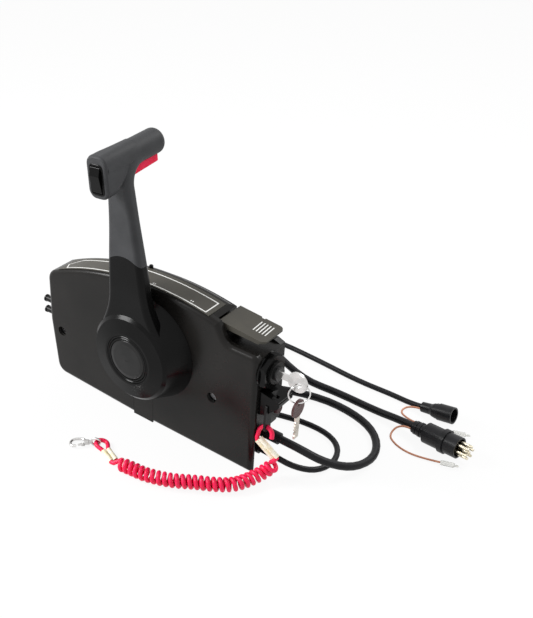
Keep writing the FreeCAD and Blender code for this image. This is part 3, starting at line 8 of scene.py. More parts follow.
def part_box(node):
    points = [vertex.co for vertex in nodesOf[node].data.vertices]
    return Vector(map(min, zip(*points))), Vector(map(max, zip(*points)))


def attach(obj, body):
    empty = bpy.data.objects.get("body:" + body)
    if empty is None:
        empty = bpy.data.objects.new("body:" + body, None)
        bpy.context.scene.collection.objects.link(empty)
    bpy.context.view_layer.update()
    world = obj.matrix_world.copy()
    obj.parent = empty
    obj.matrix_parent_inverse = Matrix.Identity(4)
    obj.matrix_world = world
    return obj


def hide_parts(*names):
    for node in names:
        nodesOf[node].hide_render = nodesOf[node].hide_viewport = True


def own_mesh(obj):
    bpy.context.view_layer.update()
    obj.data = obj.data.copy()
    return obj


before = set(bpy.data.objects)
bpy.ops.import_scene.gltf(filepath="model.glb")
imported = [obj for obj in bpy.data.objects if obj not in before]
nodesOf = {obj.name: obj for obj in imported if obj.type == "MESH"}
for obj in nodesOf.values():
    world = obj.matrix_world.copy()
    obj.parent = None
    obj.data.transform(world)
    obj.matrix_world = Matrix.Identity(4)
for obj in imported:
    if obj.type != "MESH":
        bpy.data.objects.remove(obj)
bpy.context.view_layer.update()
mm = 0.001                  # pieces are sized in mm, while camera, studio, lamps and bump depths are in m
floorZ = -108.8             # what the box and the cables stand on, mm
print("frame loaded")

# Camera
camera = {
    "place": (0.62168, -0.77547, 0.64290), "azimuth": 40.009, "elevation": 32.435,
    "lens": 57.908, "sensor": 36, "shift": (0.174, 0.01527), "near": 0.01,
}


def makeCamera():
    data = bpy.data.cameras.new("camera")
    data.lens = camera["lens"]
    data.sensor_width = camera["sensor"]
    data.shift_x, data.shift_y = camera["shift"]
    data.clip_start = camera["near"]
    eye = bpy.data.objects.new("camera", data)
    eye.location = camera["place"]
    eye.rotation_euler = (math.radians(90 - camera["elevation"]), 0, math.radians(camera["azimuth"]))
    bpy.context.scene.collection.objects.link(eye)
    bpy.context.scene.camera = eye


makeCamera()
print("camera set")


# Shared effects

def newGroup(name, ins, outs):
    group = bpy.data.node_groups.new(name, "ShaderNodeTree")
    for label, kind, value in ins:
        socket = group.interface.new_socket(name=label, in_out="INPUT", socket_type=kind)
        if value is not None:
            socket.default_value = value
    for label, kind in outs:
        group.interface.new_socket(name=label, in_out="OUTPUT", socket_type=kind)
    return group, group.nodes.new("NodeGroupInput"), group.nodes.new("NodeGroupOutput")


effects = {
    "grainDetail": 3, "cloudDetail": 4, "cloudRoughness": 0.6, "cloudSpread": (0.3, 0.7),
    "lineSqueeze": (0.06, 1, 1), "lineDetail": 2, "tarnishDetail": 5, "tarnishSpread": (0.35, 0.65),
    "bumpStrength": 0.3,
}


def mouldedSkin():
    # fine grain and slow cloudiness of moulded plastic, rubber and paint
    ins = [("Vector", "NodeSocketVector", None), ("Grain Scale", "NodeSocketFloat", 900.0),
           ("Cloud Scale", "NodeSocketFloat", 25.0)]
    outs = [("Height", "NodeSocketFloat"), ("Cloud", "NodeSocketFloat")]
    group, start, end = newGroup("mouldedSkin", ins, outs)
    grain = group.nodes.new("ShaderNodeTexNoise")
    grain.inputs["Detail"].default_value = effects["grainDetail"]
    cloud = group.nodes.new("ShaderNodeTexNoise")
    cloud.inputs["Detail"].default_value = effects["cloudDetail"]
    cloud.inputs["Roughness"].default_value = effects["cloudRoughness"]
    join = group.links.new
    join(start.outputs["Vector"], grain.inputs["Vector"])
    join(start.outputs["Vector"], cloud.inputs["Vector"])
    join(start.outputs["Grain Scale"], grain.inputs["Scale"])
    join(start.outputs["Cloud Scale"], cloud.inputs["Scale"])
    spread = group.nodes.new("ShaderNodeMapRange")
    for limit, value in zip(("From Min", "From Max"), effects["cloudSpread"]):
        spread.inputs[limit].default_value = value
    join(cloud.outputs["Fac"], spread.inputs["Value"])
    join(grain.outputs["Fac"], end.inputs["Height"])
    join(spread.outputs["Result"], end.inputs["Cloud"])
    return group


def turnedMetal():
    # fine lines along one axis with a little tarnish, for keys, pins and hooks
    ins = [("Vector", "NodeSocketVector", None), ("Line Scale", "NodeSocketFloat", 1500.0),
           ("Tarnish Scale", "NodeSocketFloat", 120.0)]
    outs = [("Height", "NodeSocketFloat"), ("Tarnish", "NodeSocketFloat")]
    group, start, end = newGroup("turnedMetal", ins, outs)
    squeeze = group.nodes.new("ShaderNodeVectorMath")
    squeeze.operation = "MULTIPLY"
    squeeze.inputs[1].default_value = effects["lineSqueeze"]
    lines = group.nodes.new("ShaderNodeTexNoise")
    lines.inputs["Detail"].default_value = effects["lineDetail"]
    tarnish = group.nodes.new("ShaderNodeTexNoise")
    tarnish.inputs["Detail"].default_value = effects["tarnishDetail"]
    join = group.links.new
    join(start.outputs["Vector"], squeeze.inputs[0])
    join(squeeze.outputs["Vector"], lines.inputs["Vector"])
    join(start.outputs["Vector"], tarnish.inputs["Vector"])
    join(start.outputs["Line Scale"], lines.inputs["Scale"])
    join(start.outputs["Tarnish Scale"], tarnish.inputs["Scale"])
    spread = group.nodes.new("ShaderNodeMapRange")
    for limit, value in zip(("From Min", "From Max"), effects["tarnishSpread"]):
        spread.inputs[limit].default_value = value
    join(tarnish.outputs["Fac"], spread.inputs["Value"])
    join(lines.outputs["Fac"], end.inputs["Height"])
    join(spread.outputs["Result"], end.inputs["Tarnish"])
    return group


skinGroup = mouldedSkin()
metalGroup = turnedMetal()


def paintBow(nodes, join, place, tint, shader, look):
    # a key's moulded bow, above a height on the key itself
    split = nodes.new("ShaderNodeSeparateXYZ")
    above = nodes.new("ShaderNodeMath")
    above.operation = "GREATER_THAN"
    above.inputs[1].default_value = look["bowAbove"] * mm
    paint = nodes.new("ShaderNodeMix")
    paint.data_type = "RGBA"
    paint.inputs["B"].default_value = (*look["bow"], 1)
    bare = nodes.new("ShaderNodeMath")
    bare.operation = "SUBTRACT"
    bare.inputs[0].default_value = 1.0
    join(place.outputs["Object"], split.inputs[0])
    join(split.outputs["Z"], above.inputs[0])
    join(above.outputs[0], paint.inputs["Factor"])
    join(tint.outputs["Result"], paint.inputs["A"])
    join(paint.outputs["Result"], shader.inputs["Base Color"])
    join(above.outputs[0], bare.inputs[1])
    join(bare.outputs[0], shader.inputs["Metallic"])


def finishOf(name, look):
    # look: two colours, two roughnesses, grain and cloud scales, bump depth, and extra shader sockets
    material = bpy.data.materials.new(name)
    material.use_nodes = True
    nodes, join = material.node_tree.nodes, material.node_tree.links.new
    shader = nodes["Principled BSDF"]
    place = nodes.new("ShaderNodeTexCoord")
    effect = nodes.new("ShaderNodeGroup")
    metal = look.get("metal", False)
    effect.node_tree = metalGroup if metal else skinGroup
    effect.inputs[1].default_value = look["grain"]
    effect.inputs[2].default_value = look["cloud"]
    join(place.outputs["Object"], effect.inputs["Vector"])
    shade = effect.outputs[1]
    tint = nodes.new("ShaderNodeMix")
    tint.data_type = "RGBA"
    tint.inputs["A"].default_value = (*look["dark"], 1)
    tint.inputs["B"].default_value = (*look["light"], 1)
    join(shade, tint.inputs["Factor"])
    join(tint.outputs["Result"], shader.inputs["Base Color"])
    polish = nodes.new("ShaderNodeMapRange")
    polish.inputs["To Min"].default_value, polish.inputs["To Max"].default_value = look["rough"]
    join(shade, polish.inputs["Value"])
    join(polish.outputs["Result"], shader.inputs["Roughness"])
    bump = nodes.new("ShaderNodeBump")
    bump.inputs["Strength"].default_value = effects["bumpStrength"]
    bump.inputs["Distance"].default_value = look["depth"]
    join(effect.outputs["Height"], bump.inputs["Height"])
    join(bump.outputs["Normal"], shader.inputs["Normal"])
    shader.inputs["Metallic"].default_value = 1.0 if metal else 0.0
    if "bow" in look:
        paintBow(nodes, join, place, tint, shader, look)
    for socket, value in look.get("sockets", {}).items():
        shader.inputs[socket].default_value = value
    return material


finishes = {
    "housingBlack": {
        "dark": (0.006, 0.0055, 0.005), "light": (0.012, 0.011, 0.01),
        "rough": (0.2, 0.28), "grain": 700, "cloud": 14, "depth": 0.00002,
        "sockets": {"Specular IOR Level": 0.18},
    },
    "satinBlack": {
        "dark": (0.005, 0.005, 0.005), "light": (0.01, 0.01, 0.01),
        "rough": (0.3, 0.42), "grain": 900, "cloud": 30, "depth": 0.00003,
        "sockets": {"Specular IOR Level": 0.18},
    },
    "glossBlack": {
        "dark": (0.0015, 0.0015, 0.0015), "light": (0.003, 0.003, 0.003),
        "rough": (0.1, 0.16), "grain": 500, "cloud": 40, "depth": 0.00001,
        "sockets": {"Specular IOR Level": 0.12},
    },
    "leverBlack": {
        "dark": (0.0015, 0.0015, 0.0015), "light": (0.0035, 0.0035, 0.0035),
        "rough": (0.16, 0.24), "grain": 800, "cloud": 22, "depth": 0.00002,
        "sockets": {"Specular IOR Level": 0.12},
    },
    "gripRubber": {
        "dark": (0.034, 0.035, 0.037), "light": (0.05, 0.051, 0.054),
        "rough": (0.5, 0.62), "grain": 1300, "cloud": 35, "depth": 0.00006,
        "sockets": {"Specular IOR Level": 0.2},
    },
    "capBlack": {
        "dark": (0.008, 0.008, 0.008), "light": (0.014, 0.014, 0.014),
        "rough": (0.3, 0.4), "grain": 1600, "cloud": 60, "depth": 0.00005,
        "sockets": {"Specular IOR Level": 0.2},
    },
    "labelGrey": {
        "dark": (0.04, 0.037, 0.03), "light": (0.054, 0.05, 0.04),
        "rough": (0.4, 0.52), "grain": 1200, "cloud": 30, "depth": 0.00001,
        "sockets": {"Specular IOR Level": 0.25},
    },
    "printWhite": {
        "dark": (0.62, 0.62, 0.6), "light": (0.78, 0.78, 0.76),
        "rough": (0.4, 0.5), "grain": 1500, "cloud": 90, "depth": 0.00001,
    },
    "triggerRed": {
        "dark": (0.74, 0.004, 0.04), "light": (0.84, 0.008, 0.07),
        "rough": (0.32, 0.44), "grain": 900, "cloud": 60, "depth": 0.00002,
        "sockets": {"Specular IOR Level": 0.2},
    },
    "lanyardRed": {
        "dark": (0.84, 0.008, 0.06), "light": (0.94, 0.018, 0.11),
        "rough": (0.3, 0.42), "grain": 900, "cloud": 150, "depth": 0.00003,
        "sockets": {"Specular IOR Level": 0.3},
    },
    "crimpIvory": {
        "dark": (0.8, 0.68, 0.38), "light": (0.97, 0.95, 0.86),
        "rough": (0.25, 0.4), "grain": 1200, "cloud": 180, "depth": 0.00003,
    },
    "cableBlack": {
        "dark": (0.004, 0.004, 0.005), "light": (0.01, 0.01, 0.012),
        "rough": (0.36, 0.5), "grain": 1500, "cloud": 60, "depth": 0.00005,
        "sockets": {"Specular IOR Level": 0.2},
    },
    "plugBlack": {
        "dark": (0.005, 0.005, 0.006), "light": (0.012, 0.012, 0.014),
        "rough": (0.3, 0.42), "grain": 1100, "cloud": 80, "depth": 0.00005,
        "sockets": {"Specular IOR Level": 0.25},
    },
    "leadBrown": {
        "dark": (0.5, 0.2, 0.11), "light": (0.66, 0.31, 0.19),
        "rough": (0.35, 0.5), "grain": 1500, "cloud": 120, "depth": 0.00003,
    },
    "sleeveClear": {
        "dark": (0.8, 0.8, 0.76), "light": (0.92, 0.92, 0.9),
        "rough": (0.08, 0.16), "grain": 900, "cloud": 150, "depth": 0.00002,
        "sockets": {"Transmission Weight": 0.75, "IOR": 1.45},
    },
    "nickel": {
        "metal": True, "dark": (0.52, 0.51, 0.5), "light": (0.8, 0.79, 0.78),
        "rough": (0.16, 0.28), "grain": 1500, "cloud": 60, "depth": 0.000006,
    },
    "spareNickel": {
        "metal": True, "dark": (0.5, 0.46, 0.4), "light": (0.8, 0.74, 0.66),
        "rough": (0.2, 0.32), "grain": 1500, "cloud": 80, "depth": 0.000006,
        "bow": (0.055, 0.012, 0.012), "bowAbove": -19.0,
    },
    "buttonDark": {
        "dark": (0.03, 0.004, 0.006), "light": (0.045, 0.006, 0.009),
        "rough": (0.3, 0.42), "grain": 900, "cloud": 60, "depth": 0.00002,
        "sockets": {"Specular IOR Level": 0.25},
    },
    "steel": {
        "metal": True, "dark": (0.34, 0.34, 0.35), "light": (0.52, 0.52, 0.53),
        "rough": (0.24, 0.4), "grain": 1800, "cloud": 90, "depth": 0.00004,
    },
    "blackSteel": {
        "metal": True, "dark": (0.05, 0.05, 0.052), "light": (0.1, 0.1, 0.1),
        "rough": (0.3, 0.45), "grain": 1800, "cloud": 90, "depth": 0.00003,
    },
    "bronze": {
        "metal": True, "dark": (0.42, 0.28, 0.13), "light": (0.6, 0.43, 0.22),
        "rough": (0.3, 0.45), "grain": 1500, "cloud": 120, "depth": 0.00003,
    },
    "contactBrass": {
        "metal": True, "dark": (0.55, 0.5, 0.38), "light": (0.82, 0.76, 0.62),
        "rough": (0.16, 0.3), "grain": 1800, "cloud": 200, "depth": 0.00002,
    },
}
materials = {name: finishOf(name, look) for name, look in finishes.items()}

wornBy = {
    "housingBlack": ["front_housing", "access_panel"],
    "satinBlack": ["rear_cover", "cable_ports", "ignition_body", "safety_clip", "warning_horn",
                   "neutral_switch", "lock_ring"],
    "glossBlack": ["rocker_bezel", "trim_rocker", "ignition_nut", "stop_switch_hood"],
    "leverBlack": ["lever_arm", "cap_ring"],
    "gripRubber": ["grip_overmould"],
    "capBlack": ["hub_cap"],
    "labelGrey": ["gear_label_plate", "fast_idle_plate"],
    "triggerRed": ["lock_trigger"],
    "lanyardRed": ["lanyard_loop", "lanyard_curl", "hook_loop"],
    "crimpIvory": ["clip_crimps", "hook_crimps"],
    "cableBlack": ["engine_gland", "tach_gland", "engine_cable_run", "engine_cable_coil",
                   "engine_cable_tail", "tach_cable_run", "tach_cable_coil", "tach_cable_tail"],
    "plugBlack": ["engine_plug", "tach_plug"],
    "leadBrown": ["engine_lead", "tach_lead"],
    "sleeveClear": ["engine_bullet", "tach_bullet"],
    "spareNickel": ["spare_key"],
    "buttonDark": ["stop_button"],
    "nickel": ["ignition_key", "key_ring", "snap_hook", "hook_gate"],
    "steel": ["mounting_bolts", "cover_screws", "main_shaft", "drive_gear", "shift_sector",
              "throttle_sector", "sector_pins", "lock_rod", "trigger_spring", "fast_idle_pin"],
    "blackSteel": ["lever_bolt", "key_barrel"],
    "bronze": ["shaft_bushes"],
    "contactBrass": ["engine_plug_pins"],
}
for finish, nodeNames in wornBy.items():
    for node in nodeNames:
        mesh = nodesOf[node].data
        mesh.materials.clear()
        mesh.materials.append(materials[finish])
print("finishes on the CAD nodes")


# Shared by the pieces below

def linked(name, data):
    thing = bpy.data.objects.new(name, data)
    bpy.context.scene.collection.objects.link(thing)
    return thing


def meshFrom(name, shape):
    mesh = bpy.data.meshes.new(name)
    shape.to_mesh(mesh)
    shape.free()
    return mesh


def meshOf(thing):
    # a curve's shape as a mesh; the curve itself goes
    bpy.context.view_layer.update()
    mesh = bpy.data.meshes.new_from_object(thing.evaluated_get(bpy.context.evaluated_depsgraph_get()))
    data = thing.data
    bpy.data.objects.remove(thing)
    bpy.data.curves.remove(data)
    return mesh


def pieceOf(name, mesh, finish, body):
    mesh.materials.clear()
    mesh.materials.append(materials[finish])
    piece = linked(name, mesh)
    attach(piece, body)
    return piece


def postOf(post, height, middle):
    # an upright post with a rounded tip
    shape = bmesh.new()
    bmesh.ops.create_cone(shape, cap_ends=True, segments=post["sides"], radius1=post["radius"] * mm,
                          radius2=post["radius"] * mm, depth=height * mm)
    tip = [e for e in shape.edges if all(v.co.z > 0 for v in e.verts)]
    bmesh.ops.bevel(shape, geom=tip, offset=post["round"] * mm, affect="EDGES",
                    segments=post["roundSteps"], profile=0.5, material=-1)
    bmesh.ops.translate(shape, verts=shape.verts, vec=middle * mm)
    return shape


# Cords

guideSteps = 24             # steps between control points where a route is measured
roundness = 3               # of a cord's section


def splineOf(name, points, radius, resolution):
    curve = bpy.data.curves.new(name, "CURVE")
    curve.dimensions = "3D"
    curve.resolution_u = resolution
    spline = curve.splines.new("NURBS")
    spline.points.add(len(points) - 1)
    for point, place in zip(spline.points, points):
        point.co = (place[0] * mm, place[1] * mm, place[2] * mm, 1)
    spline.order_u = 3
    spline.use_endpoint_u = True
    spline.resolution_u = resolution
    curve.bevel_depth = radius * mm
    curve.bevel_resolution = roundness
    curve.use_fill_caps = radius > 0
    return linked(name, curve)


def followed(points):
    # places along the smooth route, read from its spline, mm
    mesh = meshOf(splineOf("guide", points, 0, guideSteps))
    places = [v.co / mm for v in mesh.vertices]
    bpy.data.meshes.remove(mesh)
    return places


def lengthOf(points):
    places = followed(points)
    return sum((b - a).length for a, b in zip(places, places[1:])) * mm


lanyard = {
    "cord": 5.2, "curlDiameter": 17.2, "pitch": 6.9, "pointsPerTurn": 14, "phase": 175,
    "drawnIn": 16, "leftOut": 9,        # points drawn in at each end, and how many of those are left out
    "lead": 8.0, "ringSteps": 6, "cordSteps": 2,
    "route": [
        (178.3, -45.4, -82.0), (173.9, -47.9, -90.0), (167.7, -55.8, -97.0), (161.1, -71.1, -100.05),
        (155.7, -84.3, -100.05), (147.8, -94.1, -100.05), (132.5, -104.9, -100.05), (117.8, -113.0, -100.05),
        (95.0, -128.9, -100.05), (67.3, -139.2, -100.05), (50.0, -140.6, -100.05), (30.5, -144.0, -100.05),
    ],
    "crimps": ((156.5, -50.0, -57.6), (178.3, -47.0, -75.6)), "offset": 3.1,
    "hookCrimps": ((20.0, -139.5, -105.8), (1.0, -131.5, -105.8)),
    "seat": 2.0, "ringBend": 6.0, "ringMouth": 1.0,
    "curlSeat": 3.0, "curlMouth": 2.0, "hookRun": 5.0, "hookMouth": 1.5,
    "ringCentre": (162.6, -47.0, -49.9), "ringRadius": 8.8, "ringLean": 20,
    "ringAngles": [188, 164, 140, 116, 92, 68, 44, 20, -10],
    "hookCentre": (-9.6, -127.0, -104.9), "hookRadius": 7.0, "hookNormal": (0.178, 0.111, 1.0),
    "hookAngles": range(117, -118, -26),
}


def crimpLine(ends):
    start, end = Vector(ends[0]), Vector(ends[1])
    along = end - start
    length = along.length
    along.normalize()
    # over a crimp that leans, beside one that lies on the floor
    side = Vector((-along.z, 0, along.x)) if along.z else Vector((-along.y, along.x, 0))
    return start, along, length, side.normalized() * lanyard["offset"]


def loopPoints(centre, across, up, radius, angles):
    # control points round a loop, set out so that the curve itself has the radius
    stretch = radius / math.cos(math.radians((angles[0] - angles[1]) / 2))
    turns = [math.radians(angle) for angle in angles]
    return [centre + (across * math.cos(a) + up * math.sin(a)) * stretch for a in turns]


def helixAlong(places, radius):
    # a helix round the places of a route, with its ends drawn in
    perTurn, pitch, drawnIn = lanyard["pointsPerTurn"], lanyard["pitch"], lanyard["drawnIn"]
    phase = math.radians(lanyard["phase"])
    radius /= math.cos(math.pi / perTurn)
    lengths = [0.0]
    for a, b in zip(places, places[1:]):
        lengths.append(lengths[-1] + (b - a).length)
    total = lengths[-1]
    count = int(total / pitch * perTurn)
    up = (places[1] - places[0]).orthogonal().normalized()
    points = []
    k = 0
    for i in range(count + 1):
        s = total * i / count
        while k < len(places) - 2 and lengths[k + 1] < s:
            k += 1
        share = (s - lengths[k]) / max(lengths[k + 1] - lengths[k], 1e-9)
        centre = places[k].lerp(places[k + 1], share)
        tangent = (places[k + 1] - places[k]).normalized()
        up = (up - tangent * up.dot(tangent)).normalized()
        across = tangent.cross(up)
        angle = 2 * math.pi * s / pitch + phase
        near = min(1.0, i / drawnIn, (count - i) / drawnIn)
        reach = near * near * (3 - 2 * near)        # eases in and out
        points.append(centre + (up * math.cos(angle) + across * math.sin(angle)) * radius * reach)
    return points[lanyard["leftOut"]:-lanyard["leftOut"]]


def leadFrom(point, after):
    # a place on the line of a curl's last step, so that the cord runs into the curl in a round bend
    return point + (point - after).normalized() * lanyard["lead"]


def ringRoute():
    start, along, length, side = crimpLine(lanyard["crimps"])
    lean = math.radians(lanyard["ringLean"])
    rise = Vector((0, math.sin(lean), math.cos(lean)))
    low = start - side
    points = [low + along * (length - lanyard["seat"]), low + along * lanyard["ringBend"],
              low - along * lanyard["ringMouth"]]
    return points + loopPoints(Vector(lanyard["ringCentre"]), Vector((1, 0, 0)), rise, lanyard["ringRadius"],
                               lanyard["ringAngles"])


def curlRoute():
    # out of the clip's crimp, along the curl, through the hook's crimp, round its eye and back
    start, along, length, side = crimpLine(lanyard["crimps"])
    high = start + side
    points = [high + along * (length - lanyard["curlSeat"]), high + along * (length + lanyard["curlMouth"])]
    helix = helixAlong(followed(lanyard["route"]), (lanyard["curlDiameter"] - lanyard["cord"]) / 2)
    points += [leadFrom(helix[0], helix[1])] + helix + [leadFrom(helix[-1], helix[-2])]
    start, along, length, side = crimpLine(lanyard["hookCrimps"])
    seat, mouth = lanyard["seat"], length + lanyard["hookMouth"]
    inner, outer = start + side, start - side
    points += [inner - along * lanyard["hookRun"]]
    points += [inner + along * distance for distance in (seat, length - seat, mouth)]
    normal = Vector(lanyard["hookNormal"]).normalized()
    forward = (along - normal * along.dot(normal)).normalized()
    sideways = normal.cross(forward)
    if sideways.dot(side) < 0:
        sideways = -sideways
    points += loopPoints(Vector(lanyard["hookCentre"]), forward, sideways, lanyard["hookRadius"],
                         lanyard["hookAngles"])
    return points + [outer + along * distance for distance in (mouth, length - seat, seat)]


def makeLanyard():
    half = lanyard["cord"] / 2
    ringPoints, curlPoints = ringRoute(), curlRoute()
    ring = splineOf("lanyard_ring", ringPoints, half, lanyard["ringSteps"])
    cord = splineOf("lanyard_cord", curlPoints, half, lanyard["cordSteps"])
    for piece in (ring, cord):
        piece.data.materials.append(materials["lanyardRed"])
        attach(piece, "lanyard")
    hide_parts("lanyard_loop")
    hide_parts("lanyard_curl", "hook_loop")
    ringLength, curlLength = round(lengthOf(ringPoints), 3), round(lengthOf(curlPoints), 3)
    print("lanyard", curlLength, "m")


makeLanyard()

engineHarness = {
    "cord": 9.5, "centre": (-26.0, 96.0), "outer": 61.75, "columns": 3, "layers": 4,
    "first": -52.6, "last": 75.0,
    "run": [(120, -20, -72), (154, -20, -72), (188, -20, -72), (220, -10, -84), (242, 18, -98),
            (248, 58, -104.05), (228, 94, -104.05), (190, 112, -104.05), (134, 114, -104.05),
            (60, 84, -104.05), (11.5, 46.95, -104.05)],
    "tail": [(-10, 155.6, -75.8), (45, 141, -86.8), (100, 132, -104.05), (150, 136, -104.05),
             (205, 134, -104.05), (239, 130.6, -98.74), (258, 128, -97.2)],
}
tachHarness = {
    "cord": 7.0, "centre": (-140.0, 60.0), "outer": 38.5, "columns": 1, "layers": 3,
    "first": -97.0, "last": 125.0,
    "run": [(118, -32, -88), (139, -32, -88), (164, -32, -88), (189, -26, -96), (209, -8, -103.3),
            (216, 21, -105.3), (204, 49, -105.3), (176, 62, -105.3), (130, 58, -105.3), (62, 32, -105.3),
            (-15, 15, -105.3), (-82, 14, -105.3), (-144.7, 21.8, -105.3)],
    "tail": [(-162.1, 91.5, -91.3), (-108, 135, -98.8), (-50, 176, -105.3), (25, 186, -105.3),
             (95, 182, -105.3), (155, 176, -105.3), (203, 178, -105.3), (230, 176.7, -105.3),
             (245, 176, -102.5)],
}
# degrees between a coil's control points, and over which a turn moves into its next place
winding = {"step": 30, "crossing": 90, "cordSteps": 4}


def woundTurns(harness):
    # places of a neat coil wound clockwise, from the outer turn on the floor to the outer turn on top
    cord = harness["cord"]
    slots = []
    for layer in range(harness["layers"]):
        columns = list(range(harness["columns"]))
        if layer % 2:
            columns.reverse()
        slots += [(column, layer) for column in columns]
    step, crossing = winding["step"], winding["crossing"]
    sweep = (harness["first"] - harness["last"]) % 360 + 360 * (len(slots) - 1)
    points = []
    for i in range(1, int(sweep / step)):
        turned = i * step
        slot = int(turned // 360)
        share = max(0.0, (turned - slot * 360 - 360 + crossing) / crossing)
        column, layer = slots[slot]
        nextColumn, nextLayer = slots[min(slot + 1, len(slots) - 1)]
        radius = harness["outer"] - cord * (column + (nextColumn - column) * share)
        z = floorZ + cord * (0.5 + layer + (nextLayer - layer) * share)
        angle = math.radians(harness["first"] - turned)
        radius /= math.cos(math.radians(step / 2))
        x, y = harness["centre"]
        points.append(Vector((x + radius * math.cos(angle), y + radius * math.sin(angle), z)))
    return points


def makeHarness(name, harness):
    run, tail = [[Vector(p) for p in harness[part]] for part in ("run", "tail")]
    points = run + woundTurns(harness) + tail
    cable = splineOf(name, points, harness["cord"] / 2, winding["cordSteps"])
    cable.data.materials.append(materials["cableBlack"])
    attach(cable, "housing")
    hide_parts(name + "_run", name + "_coil", name + "_tail")
    length = round(lengthOf(points), 3)
    print(name, length, "m")


# contact pins of the engine plug, which stand out of its shell
pins = {
    "around": 6, "circle": 7.2, "radius": 1.7, "from": 44.0, "to": 76.0,
    "sides": 20, "round": 1.2, "roundSteps": 3,
}


def makePins():
    end, before = Vector(engineHarness["tail"][-1]), Vector(engineHarness["tail"][-2])
    along = (end - before).normalized()
    turn = along.to_track_quat("Z", "Y").to_matrix().to_4x4()
    places = [(0, 0)]
    for k in range(pins["around"]):
        angle = 2 * math.pi * k / pins["around"]
        places.append((pins["circle"] * math.cos(angle), pins["circle"] * math.sin(angle)))
    shape = bmesh.new()
    for x, y in places:
        # each pin in a mesh of its own, so that its faces come in the same order each run
        middle = Vector((x, y, (pins["from"] + pins["to"]) / 2))
        pin = meshFrom("pin", postOf(pins, pins["to"] - pins["from"], middle))
        shape.from_mesh(pin)
        bpy.data.meshes.remove(pin)
    bmesh.ops.transform(shape, matrix=Matrix.Translation(end * mm) @ turn, verts=shape.verts)
    piece = pieceOf("plug_pins", meshFrom("plugPins", shape), "contactBrass", "housing")
    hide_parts("engine_plug_pins")
    return piece


plugPins = makePins()
makeHarness("engine_cable", engineHarness)
makeHarness("tach_cable", tachHarness)

leads = {
    "cord": 2.4, "straight": 15.0, "sunk": 0.2, "cordSteps": 12,
    "engine": {
        "side": 6.1, "tail": engineHarness["tail"],
        "points": [(237, 107, -107.6), (252, 96, -107.6), (270, 92, -107.6), (290, 94, -106.8),
                   (308, 99, -105.9)],
    },
    "tach": {
        "side": 4.9, "tail": tachHarness["tail"],
        "points": [(225, 156, -107.6), (241, 149, -107.6), (259, 149, -107.6), (277, 153, -106.8),
                   (294, 158, -105.9)],
    },
}


def makeLead(which):
    lead = leads[which]
    end, before = Vector(lead["tail"][-1]), Vector(lead["tail"][-2])
    along = (end - before).normalized()
    across = along.cross(Vector((0, 0, 1))).normalized()
    start = end + across * lead["side"] - along * leads["sunk"]
    points = [start, start - along * leads["straight"]] + [Vector(p) for p in lead["points"]]
    wire = splineOf(which + "_thin_lead", points, leads["cord"] / 2, leads["cordSteps"])
    wire.data.materials.append(materials["leadBrown"])
    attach(wire, "housing")
    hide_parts(which + "_lead")
    length = round(lengthOf(points), 3)


makeLead("engine")
makeLead("tach")
print("harness leads laid")


# Trigger spring, a coil wound in the CAD spring's place

spring = {
    "height": 17.6, "radius": 2.1, "wire": 0.5, "turns": 6, "perTurn": 16, "wireSteps": 2,
    "lean": 5.3, "travel": 5.0,
}


def makeSpring():
    low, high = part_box("trigger_spring")
    middle = (low + high) / 2 / mm
    lean = math.radians(spring["lean"])
    up = Vector((-math.sin(lean), 0, math.cos(lean)))
    across = Vector((math.cos(lean), 0, math.sin(lean)))
    back = Vector((0, 1, 0))
    count = spring["turns"] * spring["perTurn"]
    points = []
    for k in range(count + 1):
        angle = 2 * math.pi * k / spring["perTurn"]
        rise = up * (spring["height"] * (k / count - 0.5))
        points.append(middle + rise + (across * math.cos(angle) + back * math.sin(angle)) * spring["radius"])
    mesh = meshOf(splineOf("spring_wire", points, spring["wire"], spring["wireSteps"]))
    coil = pieceOf("squeezed_spring", mesh, "steel", "lever")
    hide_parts("trigger_spring")
    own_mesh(coil)


makeSpring()
print("spring wound")


# Prints and small marks

def treeOf(node):
    # finds places on a CAD node's skin
    mesh = nodesOf[node].data
    places = [nodesOf[node].matrix_world @ v.co / mm for v in mesh.vertices]
    return BVHTree.FromPolygons(places, [list(face.vertices) for face in mesh.polygons])


printing = {"from": 200.0, "above": 0.12, "below": 0.1, "step": 6, "sharpest": 0.5}


def landing(tree, place):
    # where a plan place comes down on a skin
    return tree.ray_cast(Vector((place.x, place.y, printing["from"])), Vector((0, 0, -1)))[0]


def denseRun(places, closed):
    # the same run with places close enough together to follow a curved skin
    run = [Vector(p) for p in (places + places[:1] if closed else places)]
    dense = []
    for a, b in zip(run, run[1:]):
        steps = max(1, math.ceil((b - a).length / printing["step"]))
        dense += [a.lerp(b, k / steps) for k in range(steps)]
    return dense if closed else dense + run[-1:]


def edgePairs(dense, width, closed):
    # the two edges of a line at each place of a run, mitred at its corners
    pairs = []
    for k, place in enumerate(dense):
        before = dense[k - 1] if closed or k else place
        after = dense[(k + 1) % len(dense)] if closed or k < len(dense) - 1 else place
        inward = (place - before).normalized() if place != before else (after - place).normalized()
        outward = (after - place).normalized() if after != place else inward
        tangent = (inward + outward).normalized()
        reach = width / 2 / max(printing["sharpest"], tangent.dot(outward))
        side = Vector((-tangent.y, tangent.x)) * reach
        pairs.append((place + side, place - side))
    return pairs


def layStrip(shape, tree, pairs, closed):
    # a thin closed strip, half in the skin, of four corners at each place
    levels = (Vector((0, 0, printing["above"])), Vector((0, 0, -printing["below"])))
    corners = [[shape.verts.new((landing(tree, edge) + level) * mm) for edge in pair for level in levels]
               for pair in pairs]
    following = corners[1:] + corners[:1] if closed else corners[1:]
    for one, two in zip(corners, following):
        for a, b in ((0, 2), (2, 3), (3, 1), (1, 0)):
            shape.faces.new((one[a], one[b], two[b], two[a]))
    if not closed:
        shape.faces.new([corners[0][k] for k in (0, 1, 3, 2)])
        shape.faces.new([corners[-1][k] for k in (2, 3, 1, 0)])


